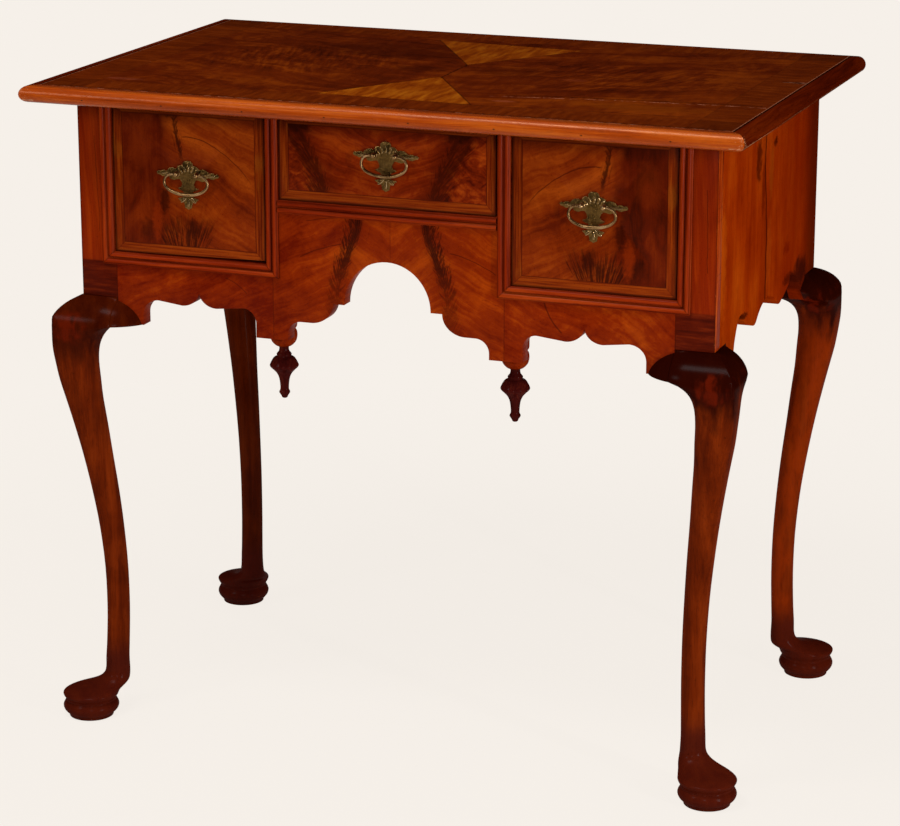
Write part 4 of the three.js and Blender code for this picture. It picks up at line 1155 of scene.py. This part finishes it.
# %% [markdown]
# A cabriole leg is sawn from a square stick along two curves and then rounded with a spokeshave. It
# could be carved from a block by a boolean, but rings are truer to the tool: each ring is a square
# with rounded corners, its outer corner sharper than the others, and the skin is bridged between
# rings. The knee is kept inside one swelling that the knee blocks share, so the surface runs on
# from leg to block.

# %% Legs
# Share of the way from foot to knee block, outer face, inner face, outer corner, other corners
LEG_ROWS = [
    (0.0189, -0.193, 0.759, 1, 1), (0.0706, -0.237, 0.773, 1, 1), (0.1652, -0.277, 0.795, 1, 1),
    (0.2828, -0.253, 0.786, 1, 1), (0.401, -0.14, 0.734, 0.9, 1), (0.507, 0.033, 0.664, 0.8, 1),
    (0.6132, 0.253, 0.573, 0.7, 1), (0.7071, 0.487, 0.5, 0.6, 1), (0.7786, 0.687, 0.439, 0.55, 1),
    (0.8368, 0.853, 0.416, 0.5, 1), (0.884, 0.943, 0.391, 0.45, 0.95),
    (0.9198, 0.99, 0.4, 0.36, 0.85), (0.9435, 1, 0.443, 0.3, 0.75), (0.9623, 1, 0.523, 0.27, 0.65),
    (0.9786, 1, 0.648, 0.25, 0.5), (0.9907, 1, 0.818, 0.22, 0.4),
]  # fmt: skip
# Share of the foot's height, shift from ankle to pad, radius as a share of the pad's
FOOT_ROWS = [
    (0, 1, 0.79), (0.05, 1, 0.812), (0.083, 1, 0.873), (0.142, 1, 0.964), (0.217, 1, 1),
    (0.292, 1, 0.94), (0.333, 1, 0.888), (0.375, 1, 0.91), (0.425, 1, 0.97), (0.475, 0.99, 1),
    (0.51, 0.92, 0.96), (0.545, 0.78, 0.885), (0.585, 0.56, 0.765), (0.63, 0.34, 0.655),
    (0.69, 0.17, 0.555), (0.78, 0.06, 0.47), (0.9, 0.02, 0.433),
]  # fmt: skip
KNEE_SHARES = [0, 0.12, 0.25, 0.38, 0.5, 0.62, 0.73, 0.83, 0.91, 0.97, 1]
# The knee's rings are nearly square, and reach into the corner of the case
KNEE_RING = (KNEE_REACH, LEG_WIDTH + 5, 0.2, 0.35)
PAD_RADIUS = 33
PAD_OFFSET = 5
ANKLE_INSET = 20
RING_SIDES = 64
POST_DEPTH = 40
POST_LAP = 8
LEG_SHARP = 0.9
# Which end, the way out of the case, the case's face there, its board and the foot's height
LEG_ENDS = (("front", -1, FRONT_Y, BOARD, 60), ("rear", 1, BACK_Y, BACK_BOARD, 65))


def reach_beside(across, height):
    """How far the knee's swelling stands out of the case at one place."""
    rise = max(height - KNEE_MIDDLE, 0) / knee_rise
    run = max(-across - KNEE_SHOULDER, 0) / knee_run
    return max(knee_swell * math.sqrt(max(1 - rise**2 - run**2, 0)) - BOARD, 0)


def leg_rows(foot_height):
    rows = []
    for share, shift, radius_share in FOOT_ROWS:
        middle = shift * (PAD_OFFSET + ANKLE_INSET) - ANKLE_INSET
        radius = radius_share * PAD_RADIUS
        rows.append((share * foot_height, middle + radius, radius - middle, 1, 1))
    for share, outer, inner, outer_corner, corners in LEG_ROWS:
        height = foot_height + share * (KNEE_HEIGHT - foot_height)
        rows.append((height, outer * KNEE_REACH, inner * LEG_WIDTH, outer_corner, corners))
    rise = CORNER_HEIGHT - GAP - KNEE_HEIGHT
    return smoothed(rows, 3) + [(KNEE_HEIGHT + share * rise, *KNEE_RING) for share in KNEE_SHARES]


def rounded(value, roundness):
    return math.copysign(abs(value) ** roundness, value)


def leg_ring(work, row):
    height, outer, inner, outer_corner, corners = row
    ring = bmesh.ops.create_circle(work, radius=1, segments=RING_SIDES)["verts"]
    middle, half = (outer - inner) / 2, (outer + inner) / 2
    for vert in ring:
        u, v = vert.co.x, vert.co.y
        roundness = outer_corner if u > 0 and v > 0 else corners
        x, y = middle + half * rounded(u, roundness), middle + half * rounded(v, roundness)
        if height > KNEE_HEIGHT - KNEE_REACH:
            x, y = min(x, reach_beside(y, height)), min(y, reach_beside(x, height))
            x, y = max(x, -LEG_WIDTH), max(y, -LEG_WIDTH)
        vert.co = (x, y, height)
    return ring


def edges_among(verts):
    """The edges that join these verts to each other, each of them once."""
    kept = set(verts)
    return list({e: 0 for vert in verts for e in vert.link_edges if set(e.verts) <= kept})


def bridged(work, rings):
    """A closed skin over rings of the same count."""
    for low, high in zip(rings, rings[1:]):
        bmesh.ops.bridge_loops(work, edges=edges_among(low) + edges_among(high))
    for end in (rings[0], rings[-1]):
        bmesh.ops.contextual_create(work, geom=edges_among(end))
    bmesh.ops.recalc_face_normals(work, faces=work.faces)


def leg_mesh(wall, foot_height):
    work = bmesh.new()
    bridged(work, [leg_ring(work, row) for row in leg_rows(foot_height)])
    low = (-STILE, -wall - GAP - POST_DEPTH, CORNER_HEIGHT - GAP - POST_LAP)
    high = (-BOARD - GAP, -wall - GAP, CASE_TOP)
    for vert in bmesh.ops.create_cube(work, size=1)["verts"]:
        vert.co = [a + (b - a) * (c + 0.5) for a, b, c in zip(low, high, vert.co)]
    return work


for end, y_sign, y, wall, foot_height in LEG_ENDS:
    for side, x_sign in SIDES:
        work = mirrored(leg_mesh(wall, foot_height), x_sign, y_sign)
        moved(work, (x_sign * CASE_HALF, y, 0))
        finished(work, f"leg_{end}_{side}", leg_wood, sharp=LEG_SHARP)
print("rings in a leg:", len(leg_rows(60)))

# %% [markdown]
# The knee blocks are glued to the front of the brackets and the sides of the knees. Each is a part
# of one swelling, so a ball is stretched to that swelling and cut by planes: the leg's side, the
# board's face and the flat underside. At the rear a slanting cut follows the arch of the side
# board.

# %% Knee blocks
BALL_SIDES = 96
BALL_RINGS = 64
REAR_SLANT = (-0.6, 0, -0.8)
SWAP_X_AND_Y = Matrix(((0, 1, 0), (1, 0, 0), (0, 0, 1))).to_4x4()
BLOCKS = (
    ("knee_block_front", False, -1, FRONT_Y),
    ("knee_block_front_side", True, -1, FRONT_Y),
    ("knee_block_rear_side", True, 1, BACK_Y),
)


def cut_away(work, place, outward):
    """Cuts off what lies beyond a plane, and closes the cut."""
    geometry = work.verts[:] + work.edges[:] + work.faces[:]
    plane = {"plane_co": place, "plane_no": outward, "clear_outer": True}
    bmesh.ops.bisect_plane(work, geom=geometry, dist=0.001, **plane)
    bmesh.ops.holes_fill(work, edges=[e for e in work.edges if e.is_boundary], sides=0)


def knee_block(arched):
    work = bmesh.new()
    bmesh.ops.create_uvsphere(work, u_segments=BALL_SIDES, v_segments=BALL_RINGS, radius=1)
    bmesh.ops.scale(work, vec=(knee_run, knee_swell, knee_rise), verts=work.verts)
    moved(work, (-KNEE_SHOULDER, -BOARD, KNEE_MIDDLE))
    leg_side = -LEG_WIDTH - GAP
    cut_away(work, (leg_side, 0, 0), (1, 0, 0))
    cut_away(work, (0, GAP, 0), (0, -1, 0))
    cut_away(work, (0, 0, KNEE_HEIGHT), (0, 0, -1))
    if arched:
        cut_away(work, (leg_side, 0, KNEE_HEIGHT), REAR_SLANT)
    return work


for side, sign in SIDES:
    for name, along_side, y_sign, y in BLOCKS:
        work = knee_block(arched=y_sign > 0)
        if along_side:
            bmesh.ops.transform(work, matrix=SWAP_X_AND_Y, verts=work.verts)
            bmesh.ops.reverse_faces(work, faces=work.faces)
        mirrored(work, sign, y_sign)
        moved(work, (sign * CASE_HALF, y, 0))
        finished(work, f"{name}_{side}", leg_wood)
print("knee blocks:", len(BLOCKS) * len(SIDES))

# %% [markdown]
# The drops are turned, so their profile is spun round an axis. The boss above the neck is flattened
# where it is glued behind the apron.

# %% Turned drops
DROP_ROWS = [
    (0, 0), (0.17, 0.015), (0.25, 0.06), (0.38, 0.12), (0.3, 0.18), (0.31, 0.28), (0.38, 0.4),
    (0.53, 0.49), (0.76, 0.56), (0.98, 0.62), (0.97, 0.67), (0.74, 0.78), (0.5, 0.82),
    (0.52, 0.86), (0.36, 0.92), (0.35, 1),
]  # fmt: skip
BOSS_ROWS = [
    (0.62, 0.04), (0.9, 0.14), (1, 0.27), (0.97, 0.38), (0.87, 0.44), (0.97, 0.5), (1, 0.56),
    (1, 1), (0, 1),
]  # fmt: skip
BULB_RADIUS = 16.5
DROP_LENGTH = 61
BOSS_RADIUS = 15.5
BOSS_HEIGHT = 48
BOSS_FLAT = 14
NECK_HEIGHT = 466
FLAT_MARGIN = 5
DROP_SHARP = 0.7


def spun(profile, steps=64):
    """Spins a profile of radius and height pairs round the Z axis into a closed piece."""
    work = bmesh.new()
    verts = [work.verts.new((radius, 0, height)) for radius, height in profile]
    edges = [work.edges.new(pair) for pair in zip(verts, verts[1:])]
    turn = {"axis": (0, 0, 1), "cent": (0, 0, 0), "angle": 2 * math.pi, "use_merge": True}
    bmesh.ops.spin(work, geom=verts + edges, steps=steps, **turn)
    bmesh.ops.remove_doubles(work, verts=work.verts, dist=0.001)
    bmesh.ops.recalc_face_normals(work, faces=work.faces)
    return work


def drop_profile():
    lower = [(r * BULB_RADIUS, (h - 1) * DROP_LENGTH) for r, h in DROP_ROWS]
    upper = [(r * BOSS_RADIUS, h * BOSS_HEIGHT) for r, h in BOSS_ROWS]
    curve = smoothed(lower + upper[:-2], 4)
    return [(max(r, 0), h) for r, h in curve] + upper[-2:]


for side, sign in SIDES:
    work = spun(drop_profile())
    for vert in work.verts:
        if vert.co.z > BLOCK_FLOOR - NECK_HEIGHT - FLAT_MARGIN:
            vert.co.y = max(vert.co.y, -BOSS_FLAT)
    moved(work, (sign * DROP_OFFSET, FRONT_Y + BOARD + GAP + BOSS_FLAT, NECK_HEIGHT))
    finished(work, f"drop_{side}", drop_wood, sharp=DROP_SHARP)
print("points on a drop's profile:", len(drop_profile()))

# %% [markdown]
# Straight pieces keep their CAD shape. A copy gets its corners eased by half a millimetre, which is
# what catches the light along an edge. Bevelling the dovetail sockets would gain nothing, so on a
# drawer only the edges of the face are eased. Two fronts have worn out of square, and leave a dark
# wedge: the left one under its right end, and the centre one at its right side.

# %% Top, mouldings, strips and drawer fronts
TOP_EASE = 0.3
MOULDING_EASE = 0.2
FRONT_EASE = 0.6
# How far a front's lower right corner has risen, and how far its right side is drawn in
WEAR = {"left": (3.4, 0.4), "centre": (0.4, 1.6), "right": (0.3, 0.4)}


def edge_of_face(edge):
    return all(abs(vert.co.y - FRONT_Y) < 0.02 for vert in edge.verts)


def worn_front(lift, narrowing):
    """Raises the lower right corner of a drawer's face, and draws in its right side."""

    def wear(verts):
        left, right = (limit(vert.co.x for vert in verts) for limit in (min, max))
        floor = min(vert.co.z for vert in verts)
        for vert in verts:
            if vert.co.y < FRONT_Y + 1:
                share = (vert.co.x - left) / (right - left)
                if vert.co.z < floor + 1:
                    vert.co.z += lift * share
                if vert.co.x > right - 1:
                    vert.co.x -= narrowing

    return wear


def pressed_in(axis):
    """Closes the glue line between a moulding and the top, so that no light shows through."""

    def wear(verts):
        inner = min(abs(vert.co[axis]) for vert in verts)
        for vert in verts:
            if abs(vert.co[axis]) < inner + 0.5:
                vert.co[axis] -= math.copysign(GAP, vert.co[axis])

    return wear


def dress(node, material):
    """Gives a CAD piece that stays as it is its finish."""
    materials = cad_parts[node].data.materials
    materials.clear()
    materials.append(material)


eased("top_board", top_wood, "walnut", TOP_EASE)
eased("top_moulding_front", light_wood, "light_walnut", MOULDING_EASE, wear=pressed_in(1))
for side, _ in SIDES:
    eased(f"top_moulding_{side}", dark_wood, "dark_walnut", MOULDING_EASE, wear=pressed_in(0))
for place in ("left_outer", "left_divider", "right_divider", "right_outer"):
    eased(f"strip_{place}", strip_wood, "light_walnut", width=0)
for place in ("left_floor", "right_floor", "centre_floor"):
    eased(f"strip_{place}", level_strip_wood, "light_walnut", width=0)

for drawer, veneer in veneers.items():
    body = f"{drawer}_drawer"
    face = {"width": FRONT_EASE, "chosen": edge_of_face, "wear": worn_front(*WEAR[drawer])}
    eased(f"{body}_front", veneer, "walnut", body=body, **face)
    for part in ("side_left", "side_right", "bottom"):
        dress(f"{body}_{part}", pine_deep)
    dress(f"{body}_back", pine_across)

dress("back_board", pine_across)
for side, _ in SIDES:
    for part in ("partition", "inner_runner", "outer_runner"):
        dress(f"{part}_{side}", pine_deep)
print("boards dressed")

# %% [markdown]
# A handle is a cast plate, two posts and a bail. The plate is an outline with a chamfered rim,
# filed by hand, and the ribs of its shell and leaves stand on its face as long, low mounds. The
# bail is a wire of changing thickness. A curve with a radius at each point could make it, but here
# rings along a smooth line are bridged, as on the legs. The posts are spun.

# %% Handles
PLATE_SHARES = [
    (0, 0.277), (0.09, 0.268), (0.16, 0.228), (0.168, 0.186), (0.152, 0.165), (0.218, 0.179),
    (0.3, 0.158), (0.35, 0.116), (0.365, 0.095), (0.457, 0.119), (0.563, 0.109), (0.65, 0.07),
    (0.685, 0.037), (0.749, 0.054), (0.835, 0.049), (0.868, 0.028), (0.939, 0.039), (1, 0.0035),
    (0.964, -0.037), (0.873, -0.053), (0.807, -0.077), (0.726, -0.07), (0.667, -0.046),
    (0.594, -0.077), (0.569, -0.116), (0.457, -0.139), (0.345, -0.116), (0.264, -0.112),
    (0.213, -0.16), (0.19, -0.221), (0.239, -0.274), (0.338, -0.289), (0.279, -0.323),
    (0.168, -0.351), (0.122, -0.41), (0.178, -0.474), (0.338, -0.502), (0.259, -0.551),
    (0.213, -0.589), (0.142, -0.579), (0.117, -0.639), (0.112, -0.684), (0, -0.723),
]  # fmt: skip
BAIL_SHARES = [
    (0.78, -0.035), (0.915, -0.15), (0.993, -0.335), (0.97, -0.56), (0.843, -0.74),
    (0.637, -0.875), (0.337, -0.975), (0, -1),
]  # fmt: skip
PLATE_HALF = 38.8
PLATE_HEIGHT = 56
PLATE_THICKNESS = 1.6
PLATE_EASE = 0.7
POST_SPACING = 25
POST_SIDES = 32
SHANK = 1.7
COLLAR = 3.2
COLLAR_THICKNESS = 1.2
COLLAR_EASE = 0.4
CLINCH = 3.4
CLINCH_THICKNESS = 2
FRONT_THICKNESS = 20
BALL = 3
BALL_STEPS = 20
EYE_REACH = 7.5
BAIL_END = 1.4
BAIL_MIDDLE = 2.0
BAIL_HALF = 26.7
BAIL_DROP = 22.4
BAIL_SIDES = 20
# Height of a fan's centre, distance of its ribs, half length and half width of a rib, turns
RIB_FANS = [
    (-8, 14.5, 3.7, 1.9, (-0.698, -0.349, 0, 0.349, 0.698)),
    (-25, 7.5, 4.6, 1.5, (math.pi - 0.9, math.pi, math.pi + 0.9)),
    (-0.6, 25, 8, 1.3, (-math.pi / 2, math.pi / 2)),
]
RIB_HEIGHT = 0.8
RIB_SINK = 0.1
ORIGIN = (0, 0, 0)
# The middle of each drawer and the height of its handle
HANDLES = {"left": (-SIDE_MIDDLE, 664), "centre": (0, 702), "right": (SIDE_MIDDLE, 664)}


def plate_mesh():
    right = [(x * PLATE_HALF, z * PLATE_HEIGHT) for x, z in PLATE_SHARES]
    outline = with_mirror(right[:-1])
    outline.insert(len(right) - 1, right[-1])
    work = sawn(outline, -GAP - PLATE_THICKNESS, -GAP, "y", PLATE_EASE)
    for centre, distance, half_length, half_width, turns in RIB_FANS:
        for turn in turns:
            rib = bmesh.ops.create_uvsphere(work, u_segments=16, v_segments=10, radius=1)["verts"]
            bmesh.ops.scale(work, vec=(half_width, RIB_HEIGHT, half_length), verts=rib)
            moved(work, (0, 0, distance), rib)
            around = Matrix.Rotation(turn, 3, "Y")
            bmesh.ops.rotate(work, cent=ORIGIN, matrix=around, verts=rib)
            moved(work, (0, RIB_SINK - GAP - PLATE_THICKNESS, centre), rib)
    return work


def post_mesh():
    inside, collar = -FRONT_THICKNESS - GAP, 2 * GAP + PLATE_THICKNESS
    face = collar + COLLAR_THICKNESS
    profile = [(0, inside - CLINCH_THICKNESS), (CLINCH, inside - CLINCH_THICKNESS)]
    profile += [(CLINCH, inside), (SHANK, inside), (SHANK, collar), (COLLAR - COLLAR_EASE, collar)]
    profile += [(COLLAR, collar + COLLAR_EASE), (COLLAR, face - COLLAR_EASE), (COLLAR - 0.5, face)]
    for i in range(6, BALL_STEPS):
        turn = i / BALL_STEPS * math.pi
        profile.append((BALL * math.sin(turn), EYE_REACH - BALL * math.cos(turn)))
    work = spun(profile + [(0, EYE_REACH + BALL)], POST_SIDES)
    forward = Matrix.Rotation(math.pi / 2, 3, "X")
    bmesh.ops.rotate(work, cent=ORIGIN, matrix=forward, verts=work.verts)
    return work


def bail_mesh():
    """The wire of the bail, as a tube of changing thickness."""
    eye = POST_SPACING / 2 + BALL
    half = [(eye - 0.3, 0), (eye + 0.8, 0)]
    half += [(x * BAIL_HALF, z * BAIL_DROP) for x, z in BAIL_SHARES]
    line = smoothed(half + [(-x, z) for x, z in reversed(half[:-1])], 5)
    last = len(line) - 1
    work = bmesh.new()
    rings = []
    for i, (x, z) in enumerate(line):
        ahead = (Vector(line[min(i + 1, last)]) - Vector(line[max(i - 1, 0)])).normalized()
        radius = BAIL_END + (BAIL_MIDDLE - BAIL_END) * math.sin(i / last * math.pi) ** 4
        ring = bmesh.ops.create_circle(work, radius=radius, segments=BAIL_SIDES)["verts"]
        for vert in ring:
            u, v = vert.co.x, vert.co.y
            vert.co = (x + ahead.y * u, v, z - ahead.x * u)
        rings.append(ring)
    bridged(work, rings)
    return work


for drawer, (middle, height) in HANDLES.items():
    body = f"{drawer}_drawer"
    chased = old_brass(f"{drawer}_plate_brass", (middle, height))
    work = plate_mesh()
    moved(work, (middle, FRONT_Y, height))
    finished(work, f"{body}_plate", chased, body, "brass")
    for side, sign in SIDES:
        work = post_mesh()
        moved(work, (middle + sign * POST_SPACING / 2, FRONT_Y, height))
        finished(work, f"{body}_post_{side}", brass, body, "brass")
    work = bail_mesh()
    moved(work, (middle, FRONT_Y - EYE_REACH, height))
    finished(work, f"{body}_bail", brass, f"{drawer}_bail", "brass")
print("handles:", len(HANDLES))

# %% [markdown]
# The studio. The floor and the surroundings are one pale colour, and the floor keeps a soft shadow.
# Polished wood mirrors what stands round it, and a pale room would lay a grey veil on the deep red,
# so a ring of dark cloth stands round the set, as in a real studio. Only reflections see it. Four
# soft lamps give the plain light: one overhead, a tall one to the right, a weak one to the left,
# and a small one in front, which puts a spark on the brass.

# %% Studio
PALE = (246, 240, 233)
WORLD_FILL = 0.34
FLOOR_RADIUS = 9
CLOTH_RADIUS = 2.4
CLOTH_HEIGHT = 7
CLOTH_SINK = 0.01
# Name, place, the height it aims at, width, height, watts
LAMPS = (
    ("overhead_lamp", (-0.3, -1.0, 2.4), 0.6, 0.9, 0.5, 27),
    ("right_lamp", (1.9, -1.0, 0.65), 0.5, 0.06, 0.6, 19),
    ("left_lamp", (-1.3, -1.9, 1.5), 0.5, 0.4, 0.4, 8),
    ("front_lamp", (0.6, -2.2, 1.15), 0.5, 0.12, 0.16, 6),
)


def seen_plainly(tree):
    """1 for rays from the camera, a mirror-like surface or a clear one, 0 for rays that light."""
    rays = ("Is Camera Ray", "Is Glossy Ray", "Is Transmission Ray")
    camera_ray, glossy_ray, clear_ray = (
        tree.node("ShaderNodeLightPath", {}, output=ray) for ray in rays
    )
    return camera_ray.most(glossy_ray).most(clear_ray)


def surroundings():
    world = bpy.data.worlds.new("surroundings")
    bpy.context.scene.world = world
    tree = NodeTree(world)
    sockets = tree.nodes["Background"].inputs
    tree.fill(sockets["Color"], PALE)
    tree.fill(sockets["Strength"], seen_plainly(tree).ramp(0, 1, WORLD_FILL, 1.0))


def studio_floor():
    finish = Finish("floor_paper")
    x, y, _ = finish.axes
    share = seen_plainly(finish) * ((x * x + y * y) ** 0.5).ramp(500, 1500, 0.94, 1.0)
    paper = finish.done(Base_Color=PALE, Roughness=1.0, Specular_IOR_Level=0.0)
    shaded = Amount(finish, finish.surface.outputs["BSDF"])
    glow = finish.node("ShaderNodeEmission", {}, PALE)
    blend = finish.node("ShaderNodeMixShader", {}, share, shaded, glow)
    finish.fill(finish.nodes["Material Output"].inputs["Surface"], blend)
    work = bmesh.new()
    bmesh.ops.create_circle(work, cap_ends=True, radius=FLOOR_RADIUS, segments=96)
    linked(work, "floor", paper)


def dark_cloth():
    work = bmesh.new()
    ring = {"radius1": CLOTH_RADIUS, "radius2": CLOTH_RADIUS, "depth": CLOTH_HEIGHT}
    bmesh.ops.create_cone(work, cap_ends=False, segments=64, **ring)
    moved(work, (0, 0, CLOTH_HEIGHT / 2 - CLOTH_SINK))
    black = Finish("dark_cloth").done(Base_Color=(14, 12, 11), Roughness=1.0)
    cloth = linked(work, "dark_cloth", black)
    for kind in ("camera", "diffuse", "transmission", "shadow"):
        setattr(cloth, f"visible_{kind}", False)


def soft_lamp(name, place, aim_height, width, height, power):
    light = bpy.data.lights.new(name, "AREA")
    light.shape = "RECTANGLE"
    light.size, light.size_y = width, height
    light.energy = power
    lamp = bpy.data.objects.new(name, light)
    bpy.context.scene.collection.objects.link(lamp)
    turn = (Vector((0, 0, aim_height)) - Vector(place)).to_track_quat("-Z", "Y")
    lamp.matrix_world = Matrix.Translation(place) @ turn.to_matrix().to_4x4()
    lamp.visible_camera = False


surroundings()
studio_floor()
dark_cloth()
for lamp in LAMPS:
    soft_lamp(*lamp)
bpy.context.scene.view_settings.view_transform = "Standard"
print("lamps:", len(LAMPS))
